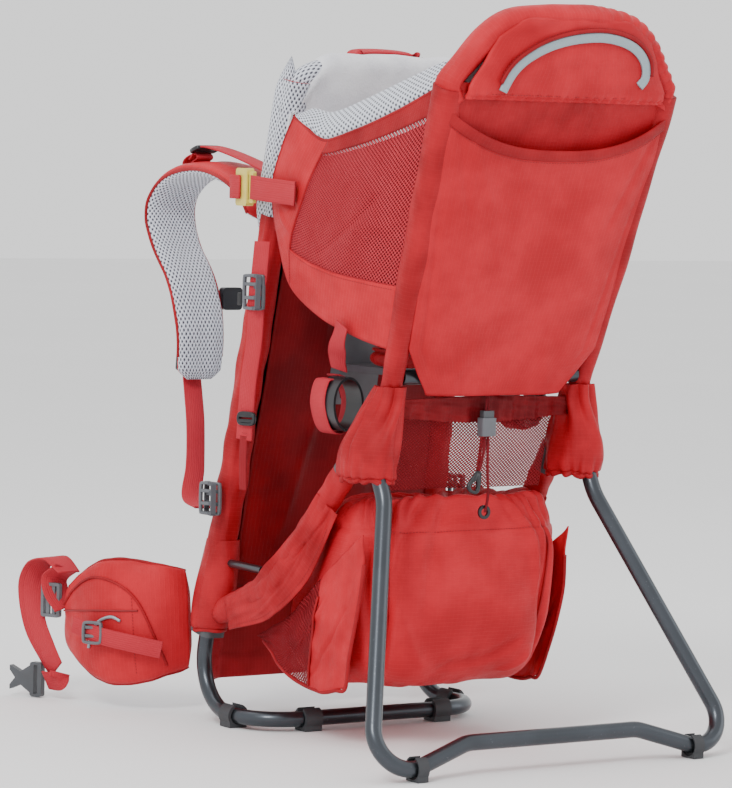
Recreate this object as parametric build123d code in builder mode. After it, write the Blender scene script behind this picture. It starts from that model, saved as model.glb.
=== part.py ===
"""Framed child carrier backpack with a folding kickstand, sliding harness and swinging hip wings.

Millimetres, +Z up. The origin is on the floor under the middle of the carrier's box.
+Y points the way the wearer faces, -Y towards the child's back rest, -X is the wearer's left.
"""

from build123d import *
import os
from math import atan2, cos, degrees, radians, sin, tan

os.makedirs("parts", exist_ok=True)

# ---- driving dimensions -------------------------------------------------------------------
TUBE_R = 8.0  # 16 mm aluminium tube
TUBE_WALL = 1.6
FOOT_R = 12.0  # outer radius of a clip-on foot, which is also the tube's height over the floor
TUBE_Z = FOOT_R
LEAN = degrees(atan2(108, 530))  # back frame's lean from the vertical
JOINT_Z = 110.0  # height of the frame joint, where upright and base loop meet
JOINT_Y = 96.0
JOINT_X = 130.0
TOP_Z = 672.0  # centre of the back frame's top bar
LOOP_X = 137.0  # base loop, half width at its rear corners
LOOP_REAR_Y = -17.0
PIVOT = Vector(127.0, -198.0, 285.0)  # kickstand pivot on the right side
KICK_TILT = 26.6  # kickstand plane from the vertical, opened
KICK_FOOT_X = 165.0
KICK_CORNER_X = 218.0  # where the splayed legs turn into the floor bar
KICK_STEP_X = 102.0  # half width of the raised middle of the floor bar
KICK_LENGTH = (PIVOT.Z - TUBE_Z) / cos(radians(KICK_TILT))
PIN_R = 4.0
PIN_CLEARANCE = 0.05
HUB_R = 11.0
HUB_WIDTH = 12.0
CHEEK = 4.0  # thickness of a hinge bracket's cheek
SLEEVE_R = 12.0  # fabric sleeve over a frame tube
FIT_GAP = 0.3
COCKPIT_X = 146.0  # mid plane of a cockpit side panel at y 0
COCKPIT_SLANT = 0.06  # how much nearer the middle the panel gets for each mm rearwards
WEB_THICK = 2.0
BELT_WEB = 30.0
STRAP_WEB = 22.0
SIDES = {"left": -1, "right": 1}

pieces = {}


def keep(name, builder):
    """Labels a finished sub-part and remembers it for export."""
    builder.part.label = name
    pieces[name] = builder.part


def at_side(side, point):
    """A point given for the right side, moved to this side."""
    return Vector(point[0] * side, point[1], point[2])


def mirrored(points):
    """The same points on the other side, in reverse order."""
    return [Vector(-p.X, p.Y, p.Z) for p in reversed(points)]


def bent_tube(points, radii, outer=TUBE_R, inner=TUBE_R - TUBE_WALL):
    """A round tube swept along straight runs joined by tangent arcs."""
    with BuildPart() as tube:
        with BuildLine() as path:
            if radii:
                FilletPolyline(*points, radius=radii)
            else:
                Line(*points)
        with BuildSketch(Plane(path.line @ 0, z_dir=path.line % 0)):
            Circle(outer)
            if inner:
                Circle(inner, mode=Mode.SUBTRACT)
        sweep()
    return tube


def strip(stations, width, thick=WEB_THICK, smooth=False):
    """A flat strap through (point, direction across its width) stations."""
    points = [Vector(*p) for p, _ in stations]
    with BuildPart() as strap:
        for i, (point, across) in enumerate(stations):
            along = points[min(i + 1, len(points) - 1)] - points[max(i - 1, 0)]
            with BuildSketch(Plane(points[i], x_dir=Vector(*across), z_dir=along)):
                Rectangle(width, thick)
        loft(ruled=not smooth)
    return strap


def pad(stations):
    """A stuffed pad lofted through (point, across, width, thickness, corner radius) stations."""
    points = [Vector(*s[0]) for s in stations]
    with BuildPart() as body:
        for i, (_, across, width, thick, corner) in enumerate(stations):
            along = points[min(i + 1, len(points) - 1)] - points[max(i - 1, 0)]
            with BuildSketch(Plane(points[i], x_dir=Vector(*across), z_dir=along)):
                RectangleRounded(width, thick, corner)
        loft()
    return body


def ladderlock(place, width, length, bar=4.0):
    """A ladder-lock webbing adjuster: a frame with two cross bars, lying on its plane."""
    rim = 3.5
    with BuildPart() as lock:
        with BuildSketch(place):
            RectangleRounded(width + 2 * rim, length, 3)
            Rectangle(width, length - 2 * rim, mode=Mode.SUBTRACT)
        extrude(amount=2.5, both=True)
        with BuildSketch(place):
            with GridLocations(0, length * 0.3, 1, 2):
                Rectangle(width + 1, bar)
        extrude(amount=1.6, both=True)
    return lock


def join(*builders):
    """Several separate solids as one sub-part."""
    with BuildPart() as group:
        for b in builders:
            add(b.part)
    return group


# ---- reference planes ---------------------------------------------------------------------
up = Vector(0, -sin(radians(LEAN)), cos(radians(LEAN)))
rearward = Vector(0, -cos(radians(LEAN)), -sin(radians(LEAN)))
BACK = Plane(origin=(0, JOINT_Y, JOINT_Z), x_dir=(1, 0, 0), z_dir=rearward)
RISE = (TOP_Z - JOINT_Z) / cos(radians(LEAN))  # joint to top bar, along the lean
TOP_X = 108.8
NARROWING = (JOINT_X - TOP_X) / RISE


def on_back(x, rise, rear=0.0):
    """The point x across, rise up the leaning back plane and rear behind it."""
    return Vector(x, JOINT_Y, JOINT_Z) + up * rise + rearward * rear


def back_plane(rear):
    return BACK.offset(rear)


# ---- frame tubes --------------------------------------------------------------------------
joint = {s: on_back(s * JOINT_X, 0) for s in (-1, 1)}
fall = -(JOINT_Z - TUBE_Z) / cos(radians(LEAN))
front_foot = {s: on_back(s * (JOINT_X + 3.7), fall) for s in (-1, 1)}
LOOP_BEND_R = 55.0
LOOP_CORNER_R = 45.0
TOP_BEND_R = 60.0

base_loop = bent_tube(
    [
        joint[-1],
        front_foot[-1],
        (-LOOP_X, LOOP_REAR_Y, TUBE_Z),
        (LOOP_X, LOOP_REAR_Y, TUBE_Z),
        front_foot[1],
        joint[1],
    ],
    [LOOP_BEND_R, LOOP_CORNER_R, LOOP_CORNER_R, LOOP_BEND_R],
)
keep("base_loop_tube", base_loop)

back_path = [joint[-1], on_back(-TOP_X, RISE), on_back(TOP_X, RISE), joint[1]]
keep("back_frame_tube", bent_tube(back_path, [TOP_BEND_R, TOP_BEND_R]))

# One fabric sleeve runs up one upright, over the top bar and down the other.
SLEEVE_START = 30.0
sleeve_path = [
    on_back(-(JOINT_X - NARROWING * SLEEVE_START), SLEEVE_START),
    on_back(-TOP_X, RISE),
    on_back(TOP_X, RISE),
    on_back(JOINT_X - NARROWING * SLEEVE_START, SLEEVE_START),
]
frame_sleeve = bent_tube(sleeve_path, [TOP_BEND_R, TOP_BEND_R], SLEEVE_R, TUBE_R + FIT_GAP)

# The cockpit frame rises from the joint, sweeps back past the hinge and arches over the head rest.
strut_low = Vector(-130.6, 72.0, 113.5)
strut_bend = Vector(-139.0, -45.0, 160.0)
strut_knee = Vector(-112.0, -196.0, 345.0)
arch_side = Vector(-127.0, -306.0, 650.0)
arch_top = Vector(-78.0, -322.0, 717.0)
half_cockpit = [strut_low, strut_bend, strut_knee, arch_side, arch_top]
cockpit_radii = [150, 170, 55, 60]
cockpit_frame = bent_tube(half_cockpit + mirrored(half_cockpit), cockpit_radii + cockpit_radii[::-1])
keep("cockpit_frame_tube", cockpit_frame)

BAR_Z = 372.0
bar_share = (BAR_Z - strut_knee.Z) / (arch_side.Z - strut_knee.Z)
bar_point = strut_knee + (arch_side - strut_knee) * bar_share
BAR_END = abs(bar_point.X) - TUBE_R - 0.4
cross_bar = bent_tube([(-BAR_END, bar_point.Y, BAR_Z), (BAR_END, bar_point.Y, BAR_Z)], [])

# ---- joint blocks, braces and the kickstand's hinges --------------------------------------
BLOCK_LENGTH = 44.0
SOCKET_R, SOCKET_LENGTH = 11.0, 26.0
blocks = []
for side in SIDES.values():
    tube_axis = (on_back(side * TOP_X, RISE) - joint[side]).normalized()
    block_plane = Plane(joint[side], x_dir=(1, 0, 0), z_dir=tube_axis)
    run = strut_bend - strut_low
    strut_dir = Vector(-side * run.X, run.Y, run.Z).normalized()
    socket_base = at_side(side, (-strut_low.X, strut_low.Y, strut_low.Z)) - strut_dir * 3
    with BuildPart() as block:
        with BuildSketch(block_plane.offset(-BLOCK_LENGTH / 2)):
            RectangleRounded(27, 34, 8)
        extrude(amount=BLOCK_LENGTH)
        with BuildSketch(Plane(socket_base, z_dir=strut_dir)):
            Circle(SOCKET_R)
        extrude(amount=SOCKET_LENGTH)
        with BuildSketch(Plane(at_side(side, (-strut_low.X, strut_low.Y, strut_low.Z)), z_dir=strut_dir)):
            Circle(TUBE_R + 0.05)
        extrude(amount=SOCKET_LENGTH, mode=Mode.SUBTRACT)
        with BuildSketch(block_plane.offset(-BLOCK_LENGTH / 2)):
            Circle(TUBE_R + 0.05)
        extrude(amount=BLOCK_LENGTH, mode=Mode.SUBTRACT)
    blocks.append(block)
keep("frame_joint_blocks", join(*blocks))

braces = []
BRACE_Z = 165.0
BRACE_END_X = 135.5
for side in SIDES.values():
    share = (BRACE_Z - JOINT_Z) / (TOP_Z - JOINT_Z)
    brace_front = JOINT_Y + (on_back(0, RISE).Y - JOINT_Y) * share - SLEEVE_R - 2.5
    braces.append(
        bent_tube([(side * 128, brace_front, BRACE_Z), (side * BRACE_END_X, -11, BRACE_Z)], [], 4.0, 0)
    )
keep("frame_braces", join(cross_bar, *braces))

strut_axis = (strut_knee - strut_bend).normalized()
clamp_share = (PIVOT.Z - strut_bend.Z) / (strut_knee.Z - strut_bend.Z)
brackets, hubs, pins = [], [], []
for side in SIDES.values():
    clamp_at = strut_bend + (strut_knee - strut_bend) * clamp_share
    clamp_at = Vector(side * abs(clamp_at.X), clamp_at.Y, clamp_at.Z)
    axis = Vector(-side * strut_axis.X, strut_axis.Y, strut_axis.Z)
    pivot = at_side(side, tuple(PIVOT))
    cheek_x = HUB_WIDTH / 2 + FIT_GAP
    with BuildPart() as bracket:
        with BuildSketch(Plane(clamp_at - axis * 14, z_dir=axis)):
            Circle(13)
        extrude(amount=28)
        with BuildSketch(Plane.YZ.offset(pivot.X - cheek_x - CHEEK)):
            with BuildLine():
                Polyline(
                    (clamp_at.Y, clamp_at.Z - 12),
                    (pivot.Y, pivot.Z - HUB_R),
                    (pivot.Y, pivot.Z + HUB_R),
                    (clamp_at.Y, clamp_at.Z + 12),
                    close=True,
                )
            make_face()
            with Locations((pivot.Y, pivot.Z)):
                Circle(HUB_R)
        extrude(amount=2 * (cheek_x + CHEEK))
        with BuildSketch(Plane.YZ.offset(pivot.X - cheek_x)):
            with Locations((pivot.Y - 4, pivot.Z)):
                Rectangle(46, 60)
        extrude(amount=2 * cheek_x, mode=Mode.SUBTRACT)
        with BuildSketch(Plane.YZ.offset(pivot.X - 30)):
            with Locations((pivot.Y, pivot.Z)):
                Circle(PIN_R)
        extrude(amount=60, mode=Mode.SUBTRACT)
        with BuildSketch(Plane(clamp_at - axis * 30, z_dir=axis)):
            Circle(TUBE_R)
        extrude(amount=60, mode=Mode.SUBTRACT)
    brackets.append(bracket)

    with BuildPart() as pin:
        with BuildSketch(Plane.YZ.offset(pivot.X - cheek_x - CHEEK)):
            with Locations((pivot.Y, pivot.Z)):
                Circle(PIN_R)
        extrude(amount=2 * (cheek_x + CHEEK))
        for start in (-cheek_x - CHEEK - 2.5, cheek_x + CHEEK):
            with BuildSketch(Plane.YZ.offset(pivot.X + start)):
                with Locations((pivot.Y, pivot.Z)):
                    Circle(PIN_R + 2.5)
            extrude(amount=2.5)
    pins.append(pin)
keep("hinge_brackets", join(*brackets))
keep("hinge_pins", join(*pins))


# ---- kickstand ----------------------------------------------------------------------------
def on_kick(x, down):
    """The point x across and down below the pivots, in the kickstand's leaning plane."""
    tilt = radians(KICK_TILT)
    return Vector(x, PIVOT.Y - down * sin(tilt), PIVOT.Z - down * cos(tilt))


TUBE_START = 13.5  # the leg tube starts this far below its pivot
half_kick = [
    on_kick(-PIVOT.X, TUBE_START),
    on_kick(-PIVOT.X, 36),
    on_kick(-KICK_CORNER_X, KICK_LENGTH + 2),
    on_kick(-KICK_FOOT_X, KICK_LENGTH),
    on_kick(-KICK_STEP_X, KICK_LENGTH - 21),
]
kick_radii = [60, 33, 36, 40]
keep(
    "kickstand_tube",
    bent_tube(half_kick + mirrored(half_kick), kick_radii + kick_radii[::-1]),
)

for side in SIDES.values():
    pivot = at_side(side, tuple(PIVOT))
    leg_top = on_kick(side * PIVOT.X, TUBE_START)
    leg_plane = Plane(leg_top, z_dir=on_kick(side * PIVOT.X, TUBE_START + 1) - leg_top)
    with BuildPart() as hub:
        with BuildSketch(Plane.YZ.offset(pivot.X - HUB_WIDTH / 2)):
            with Locations((pivot.Y, pivot.Z)):
                Circle(HUB_R)
        extrude(amount=HUB_WIDTH)
        with BuildSketch(leg_plane.offset(-TUBE_START + 4)):
            Circle(HUB_WIDTH / 2)
        extrude(amount=TUBE_START - 4)
        with BuildSketch(leg_plane):
            Circle(TUBE_R - TUBE_WALL)
        extrude(amount=18)
        with BuildSketch(Plane.YZ.offset(pivot.X - 20)):
            with Locations((pivot.Y, pivot.Z)):
                Circle(PIN_R + PIN_CLEARANCE)
        extrude(amount=40, mode=Mode.SUBTRACT)
    hubs.append(hub)
keep("kickstand_hubs", join(*hubs))


def clip_foot(place, axis, bore=TUBE_R + 0.3, length=20):
    """A C-shaped rubber foot clipped over a tube, with a flat sole on the floor."""
    along = Plane(place, x_dir=Vector(0, 0, 1).cross(axis), z_dir=axis)
    with BuildPart() as foot:
        with BuildSketch(along.offset(-length / 2)):
            Circle(FOOT_R)
            with Locations((0, -FOOT_R / 2)):
                Rectangle(2 * FOOT_R - 4, FOOT_R)
            Circle(bore, mode=Mode.SUBTRACT)
            with Locations((0, FOOT_R)):
                Rectangle(9, 12, mode=Mode.SUBTRACT)
        extrude(amount=length)
    return foot


KICK_FOOT_BORE = 10.5  # opened up, because the tube bends under this foot
KICK_FOOT_LENGTH = 12.0
kick_feet = [
    clip_foot(on_kick(side * KICK_FOOT_X, KICK_LENGTH), Vector(1, 0, 0), KICK_FOOT_BORE, KICK_FOOT_LENGTH)
    for side in SIDES.values()
]
keep("kickstand_feet", join(*kick_feet))

CROSS_FOOT_X = 80.0
ARM_FOOT_Y = 38.5
BASE_FOOT_BORE = 8.7
arm_x = LOOP_X - (LOOP_X - front_foot[1].X) * (ARM_FOOT_Y - LOOP_REAR_Y) / (front_foot[1].Y - LOOP_REAR_Y)
base_feet = []
for side in SIDES.values():
    cross_place = Vector(side * CROSS_FOOT_X, LOOP_REAR_Y, TUBE_Z)
    base_feet.append(clip_foot(cross_place, Vector(1, 0, 0), BASE_FOOT_BORE))
    arm_axis = Vector(side * (front_foot[1].X - LOOP_X), front_foot[1].Y - LOOP_REAR_Y, 0).normalized()
    base_feet.append(clip_foot(Vector(side * arm_x, ARM_FOOT_Y, TUBE_Z), arm_axis, BASE_FOOT_BORE))
keep("base_feet", join(*base_feet))

# ---- back panel, pads and harness rail ----------------------------------------------------
COVER_REAR, COVER_FRONT = 8.0, -8.5
BOARD_FRONT = -12.0
PAD_FRONT = -30.0
BOARD_THICK = 3.0
PANEL_LOW, PANEL_HIGH = 30.0, RISE - SLEEVE_R - 0.6


def panel_half_width(rise):
    return JOINT_X - NARROWING * rise - SLEEVE_R - 1.5


def back_sheet(start, thick):
    """A sheet filling the frame between its uprights: narrower at the top, with round upper corners."""
    wide, narrow = panel_half_width(PANEL_LOW), panel_half_width(PANEL_HIGH)
    corner = TOP_BEND_R - SLEEVE_R - 1
    with BuildPart() as sheet:
        with BuildSketch(back_plane(start)):
            with BuildLine():
                FilletPolyline(
                    (-wide, PANEL_LOW),
                    (-narrow, PANEL_HIGH),
                    (narrow, PANEL_HIGH),
                    (wide, PANEL_LOW),
                    radius=[corner, corner],
                )
                Line((wide, PANEL_LOW), (-wide, PANEL_LOW))
            make_face()
        extrude(amount=thick)
    return sheet


keep("back_cover", back_sheet(COVER_FRONT, COVER_REAR - COVER_FRONT))
keep("back_board", back_sheet(BOARD_FRONT, BOARD_THICK))

CHANNEL = 17.0  # half width of the channel between the two pads
pads = []
for side in SIDES.values():
    with BuildPart() as back_pad:
        with BuildSketch(back_plane(PAD_FRONT)):
            with BuildLine():
                Polyline(
                    (side * CHANNEL, 50),
                    (side * 124, 50),
                    (side * 112, 560),
                    (side * 92, 586),
                    (side * CHANNEL, 586),
                    close=True,
                )
            make_face()
        extrude(amount=BOARD_FRONT - PAD_FRONT - 0.5)
        fillet(back_pad.edges().filter_by(GeomType.LINE).group_by(Axis.Y)[-1], 6)
    pads.append(back_pad)
keep("back_pads", join(*pads))

with BuildPart() as lumbar_pad:
    with BuildSketch(Plane.XZ.offset(-138)):
        with Locations((0, 98)):
            RectangleRounded(212, 96, 18)
    extrude(amount=12)
    fillet(lumbar_pad.faces().sort_by(Axis.Y)[-1].edges(), 4)
keep("lumbar_pad", lumbar_pad)

RAIL_LOW, RAIL_HIGH = 290.0, 540.0
RAIL_X, RAIL_THICK = 9.0, 3.0
with BuildPart() as harness_rail:
    with BuildSketch(back_plane(BOARD_FRONT - RAIL_THICK - FIT_GAP)):
        with Locations((0, (RAIL_LOW + RAIL_HIGH) / 2)):
            Rectangle(2 * RAIL_X, RAIL_HIGH - RAIL_LOW)
    extrude(amount=RAIL_THICK)
keep("harness_rail", harness_rail)

HAUL_WIDTH, HAUL_THICK = 18.0, 3.0
with BuildPart() as haul_loop:
    with BuildSketch(back_plane(-HAUL_WIDTH / 2)):
        with BuildLine():
            FilletPolyline((-38, RISE + 14), (-34, RISE + 36), (34, RISE + 36), (38, RISE + 14), radius=14)
        trace(line_width=HAUL_THICK)
    extrude(amount=HAUL_WIDTH)
keep("haul_loop", haul_loop)

# ---- harness: yoke on the rail, shoulder straps and their hardware --------------------------
YOKE_LOW, YOKE_HIGH = 380.0, 460.0
rail_face = BOARD_FRONT - RAIL_THICK - FIT_GAP
with BuildPart() as harness_yoke:
    with BuildSketch(back_plane(PAD_FRONT - 5)):
        with Locations((0, (YOKE_LOW + YOKE_HIGH) / 2)):
            RectangleRounded(210, YOKE_HIGH - YOKE_LOW, 14)
    extrude(amount=4.5)
    with BuildSketch(back_plane(PAD_FRONT - 1)):
        with Locations((0, (YOKE_LOW + YOKE_HIGH) / 2)):
            Rectangle(24, 46)
    extrude(amount=rail_face - PAD_FRONT + 1 - FIT_GAP)
    with BuildSketch(back_plane(rail_face - FIT_GAP - 0.5)):
        with Locations((0, (YOKE_LOW + YOKE_HIGH) / 2)):
            with GridLocations(2 * RAIL_X + 4.6, 0, 2, 1):
                Rectangle(4, 46)
    extrude(amount=RAIL_THICK)
keep("harness_yoke", harness_yoke)

STRAP_X = 84.0
# Side view of the padded strap: (y, z, width across, thickness)
strap_line = [
    (54, 517, 70, 13),
    (76, 543, 68, 15),
    (126, 562, 64, 17),
    (182, 567, 60, 18),
    (238, 556, 58, 18),
    (268, 526, 58, 18),
    (259, 486, 58, 18),
    (232, 438, 58, 17),
    (211, 392, 56, 16),
    (203, 345, 50, 13),
]
for name, side in SIDES.items():
    stations = [((side * STRAP_X, y, z), (1, 0, 0), w, t, t * 0.42) for y, z, w, t in strap_line]
    keep(f"shoulder_strap_{name}", pad(stations))

lifters, strap_locks = [], []
for side in SIDES.values():
    x = side * STRAP_X
    lifters.append(
        strip(
            [
                ((x, 214, 577), (1, 0, 0)),
                ((x, 196, 590), (1, 0, 0)),
                ((x, 168, 589), (1, 0, 0)),
                ((x, 120, 580), (1, 0, 0)),
                ((x, 62, 566), (1, 0, 0)),
            ],
            STRAP_WEB,
        )
    )
    lock_plane = Plane((x, 222, 366), x_dir=(1, 0, 0), z_dir=(0, 1, 0.1))
    strap_locks.append(ladderlock(lock_plane, STRAP_WEB + 2, 26))
keep("load_lifters", join(*lifters))
keep("strap_ladderlocks", join(*strap_locks))

# Webbing from each shoulder strap down to the frame, and the adjuster that holds it there.
lower_webs, lower_locks = [], []
for side in SIDES.values():
    lower_webs.append(
        strip(
            [
                ((side * 93, 187, 314), (1, 0, 0)),
                ((side * 96, 180, 298), (1, 0, 0)),
                ((side * 102, 176, 255), (1, 0, 0)),
                ((side * 112, 172, 212), (1, 0.1, 0)),
                ((side * 122, 152, 168), (1, 0.3, 0)),
            ],
            STRAP_WEB,
        )
    )
    place = Plane((side * 152, 66, 232), x_dir=(side * 0.3, -1, 0), z_dir=(side * 1, 0.3, 0))
    lower_locks.append(ladderlock(place, STRAP_WEB, 34))

with BuildPart() as sternum_half:
    with BuildSketch(Plane((-42, 205, 430), x_dir=(1, 0, 0), z_dir=(0, 1, 0))):
        RectangleRounded(24, 24, 4)
        with Locations((8, 0)):
            RectangleRounded(5, 14, 1.5, mode=Mode.SUBTRACT)
    extrude(amount=9)
keep("sternum_buckle_socket", sternum_half)
with BuildPart() as sternum_plug:
    with BuildSketch(Plane((42, 205, 430), x_dir=(1, 0, 0), z_dir=(0, 1, 0))):
        RectangleRounded(18, 24, 4)
        with Locations((-14, 0)):
            Rectangle(14, 5)
        with Locations((-13, 8), (-13, -8)):
            RectangleRounded(16, 4, 1.5)
        with Locations((3, 0)):
            RectangleRounded(4, 14, 1, mode=Mode.SUBTRACT)
    extrude(amount=7)
keep("sternum_buckle_plug", sternum_plug)

# ---- hip belt: two wings, each turning at the edge of the lumbar pad -----------------------
wing_line = [  # x, y, height, thickness, centre height
    (122, 148, 104, 18, 98),
    (156, 160, 122, 24, 96),
    (184, 190, 132, 28, 93),
    (196, 230, 124, 26, 91),
    (196, 268, 92, 18, 90),
    (192, 284, 52, 10, 90),
]
BELT_SPLAY = 25.0  # the free belt ends point outwards
BUCKLE_Z = 19.0


def splayed(side, place):
    """A plane standing at place, its x axis along the belt end and its normal outwards."""
    turn = radians(BELT_SPLAY)
    return Plane(
        at_side(side, place),
        x_dir=(side * sin(turn), cos(turn), 0),
        z_dir=(side * cos(turn), -sin(turn), 0),
    )


hip_loop = [  # from the wing's tip over the top and down to the fold
    ((197, 274, 137), (1, 0, 0.1)),
    ((201, 298, 150), (1, 0, 0)),
    ((205, 324, 142), (0.8, 0.4, 0.4)),
    ((207, 338, 114), (0.3, 0.95, 0.2)),
    ((211, 322, 79), (0, 0.85, -0.5)),
    ((209, 300, 52), (0, 0.77, -0.63)),
    ((205, 284, 32), (0, 0.77, -0.63)),
]
for name, side in SIDES.items():
    stations = [
        ((side * x, y, z), (0, 0, 1), height, thick, thick * 0.45)
        for x, y, height, thick, z in wing_line
    ]
    keep(f"hip_wing_{name}", pad(stations))
    lock_place = splayed(side, (203, 301, 105))
    upright = Plane(lock_place.origin, x_dir=(0, 0, 1), z_dir=lock_place.z_dir)
    keep(f"hip_ladderlock_{name}", ladderlock(upright, BELT_WEB, 24))
    loop = strip([(at_side(side, p), (side * a[0], a[1], a[2])) for p, a in hip_loop], BELT_WEB)
    belt_end = strip(
        [
            (at_side(side, (206.5, 277, BUCKLE_Z)), (0, 0, 1)),
            (at_side(side, (207, 290, BUCKLE_Z)), (0, 0, 1)),
            (at_side(side, (208.5, 300.5, BUCKLE_Z)), (0, 0, 1)),
        ],
        BELT_WEB,
    )
    stabilizer = strip(
        [
            (at_side(side, (217.5, 226, 88)), (0, 0, 1)),
            (at_side(side, (207, 190, 80)), (0, 0, 1)),
            (at_side(side, (186, 159, 74)), (0, 0, 1)),
            (at_side(side, (163, 139, 68)), (0, 0, 1)),
        ],
        18,
    )
    keep(f"hip_webbing_{name}", join(loop, belt_end, stabilizer))

# Buckle halves at the ends of the hip belt: the prongs are on the left, the socket on the right.
with BuildPart() as hip_buckle_plug:
    with BuildSketch(splayed(-1, (213, 311, BUCKLE_Z))):
        RectangleRounded(15, 37, 3)
        Rectangle(5, 31, mode=Mode.SUBTRACT)
        with BuildLine():
            prong_tips = [(20, 7), (34, 13), (34, 8), (27, 0), (34, -8), (34, -13), (20, -7)]
            Polyline((7, 15), *prong_tips, (7, -15), close=True)
        make_face()
    extrude(amount=3.5, both=True)
keep("hip_buckle_plug", hip_buckle_plug)
with BuildPart() as hip_buckle_socket:
    with BuildSketch(splayed(1, (213, 311, BUCKLE_Z))):
        RectangleRounded(15, 37, 3)
        Rectangle(5, 31, mode=Mode.SUBTRACT)
        with Locations((20, 0)):
            RectangleRounded(28, 37, 4)
    extrude(amount=5, both=True)
    with BuildSketch(splayed(1, (213, 311, BUCKLE_Z))):
        with Locations((22, 0)):
            Rectangle(26, 28)
    extrude(amount=3, both=True, mode=Mode.SUBTRACT)
keep("hip_buckle_socket", hip_buckle_socket)

# ---- cockpit ------------------------------------------------------------------------------
side_outline = [  # y, z
    (-52, 604),
    (-112, 576),
    (-222, 614),
    (-283, 628),
    (-226, 410),
    (-178, 424),
    (-92, 446),
    (-34, 470),
    (-18, 508),
    (-18, 552),
]
side_panels, rims = [], []
for side in SIDES.values():
    with BuildPart() as side_panel:
        panel_x = Vector(side * COCKPIT_SLANT, 1, 0)
        panel_face = Plane((side * COCKPIT_X, 0, 0), x_dir=panel_x, z_dir=(1, -side * COCKPIT_SLANT, 0))
        with BuildSketch(panel_face):
            with BuildLine():
                Polyline(*side_outline, close=True)
            make_face()
        extrude(amount=3.5, both=True)
    side_panels.append(side_panel)

    rim = pad(
        [
            ((side * 143, -70, 630), (1, 0, -side * 0.2), 22, 16, 6),
            ((side * 145, -122, 606), (1, 0, -side * 0.2), 24, 18, 7),
            ((side * 145, -214, 645), (1, 0, -side * 0.2), 26, 20, 8),
            ((side * 136, -266, 667), (1, 0, -side * 0.2), 24, 20, 8),
        ]
    )
    rims.append(rim)
keep("cockpit_sides", join(*side_panels))
keep("rim_pads", join(*rims))

# The child's front rest stands between the side panels, just behind the back cover.
FRONT_REST_LOW, FRONT_REST_HIGH = 352.0, 530.0
with BuildPart() as front_rest:
    with BuildSketch(back_plane(COVER_REAR + 22)):
        with BuildLine():
            FilletPolyline(
                (-104, FRONT_REST_LOW),
                (-104, FRONT_REST_HIGH),
                (104, FRONT_REST_HIGH),
                (104, FRONT_REST_LOW),
                radius=[40, 40],
            )
            Line((104, FRONT_REST_LOW), (-104, FRONT_REST_LOW))
        make_face()
    extrude(amount=14)
keep("front_rest_pad", front_rest)

# Rear panel: the back rest with its stash pocket, leaning with the cockpit frame.
rear_up = (arch_side - strut_knee).normalized()
rear_normal = Vector(0, -rear_up.Z, rear_up.Y).normalized()
REAR = Plane(origin=(0, strut_knee.Y, strut_knee.Z), x_dir=(1, 0, 0), z_dir=rear_normal)
REAR_OFF = TUBE_R + 1.0


POCKET_DEPTH, POCKET_WALL = 15.0, 2.0
with BuildPart() as stash_pocket:
    with BuildSketch(REAR.offset(REAR_OFF)):
        with BuildLine():
            Polyline((-96, 24), (-110, 58), (-130, 306), (130, 306), (110, 58), (96, 24), close=True)
        make_face()
    extrude(amount=POCKET_DEPTH)
    with BuildSketch(REAR.offset(REAR_OFF + POCKET_WALL)):
        with BuildLine():
            Polyline((-95, 26), (-108, 59), (-128, 314), (128, 314), (108, 59), (95, 26), close=True)
        make_face()
    extrude(amount=POCKET_DEPTH - 2 * POCKET_WALL, mode=Mode.SUBTRACT)
keep("stash_pocket", stash_pocket)

with BuildPart() as back_rest:
    with BuildSketch(REAR.offset(-TUBE_R - 18)):
        with BuildLine():
            FilletPolyline((-106, 50), (-119, 302), (119, 302), (106, 50), radius=[18, 18])
            Line((106, 50), (-106, 50))
        make_face()
    extrude(amount=16)
keep("back_rest_pad", back_rest)

HEAD_REST_Y = -300.0
with BuildPart() as head_rest:
    with BuildSketch(Plane.XZ.offset(-HEAD_REST_Y)):
        with BuildLine():
            Polyline((-100, 642), (-100, 650), (-62, 694), (62, 694), (100, 650), (100, 642), close=True)
        make_face()
    extrude(amount=18)
keep("head_rest_pad", head_rest)

HOOD_R = 16.0
HOOD_START = 0.26  # share of the run from the arch's side to its top where the padding starts
hood_low = arch_side + (arch_top - arch_side) * HOOD_START
hood_path = [hood_low, arch_top, *mirrored([hood_low, arch_top])]
keep("head_rest_cover", bent_tube(hood_path, [60, 60], HOOD_R, TUBE_R + FIT_GAP))

# ---- seat, stirrups and leg openings --------------------------------------------------------
with BuildPart() as seat_pad:
    with BuildSketch(Plane.XY.offset(372)):
        with Locations((0, -108)):
            Ellipse(62, 66)
    with BuildSketch(Plane.XY.offset(394)):
        with Locations((0, -108)):
            Ellipse(70, 74)
    loft()
keep("seat_pad", seat_pad)

SHELF_Z = 364.0
with BuildPart() as seat_carrier:
    with BuildSketch(back_plane(COVER_REAR + 1)):
        with Locations((0, 290)):
            Rectangle(60, 130)
    extrude(amount=4)
    with BuildSketch(Plane.XY.offset(SHELF_Z)):
        with Locations((0, -56)):
            Rectangle(52, 160)
    extrude(amount=7)
    with BuildSketch(back_plane(COVER_REAR + 1)):
        with Locations((0, 290)):
            Rectangle(80, 200)
    extrude(amount=-60, mode=Mode.SUBTRACT)
keep("seat_carrier", seat_carrier)

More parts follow.
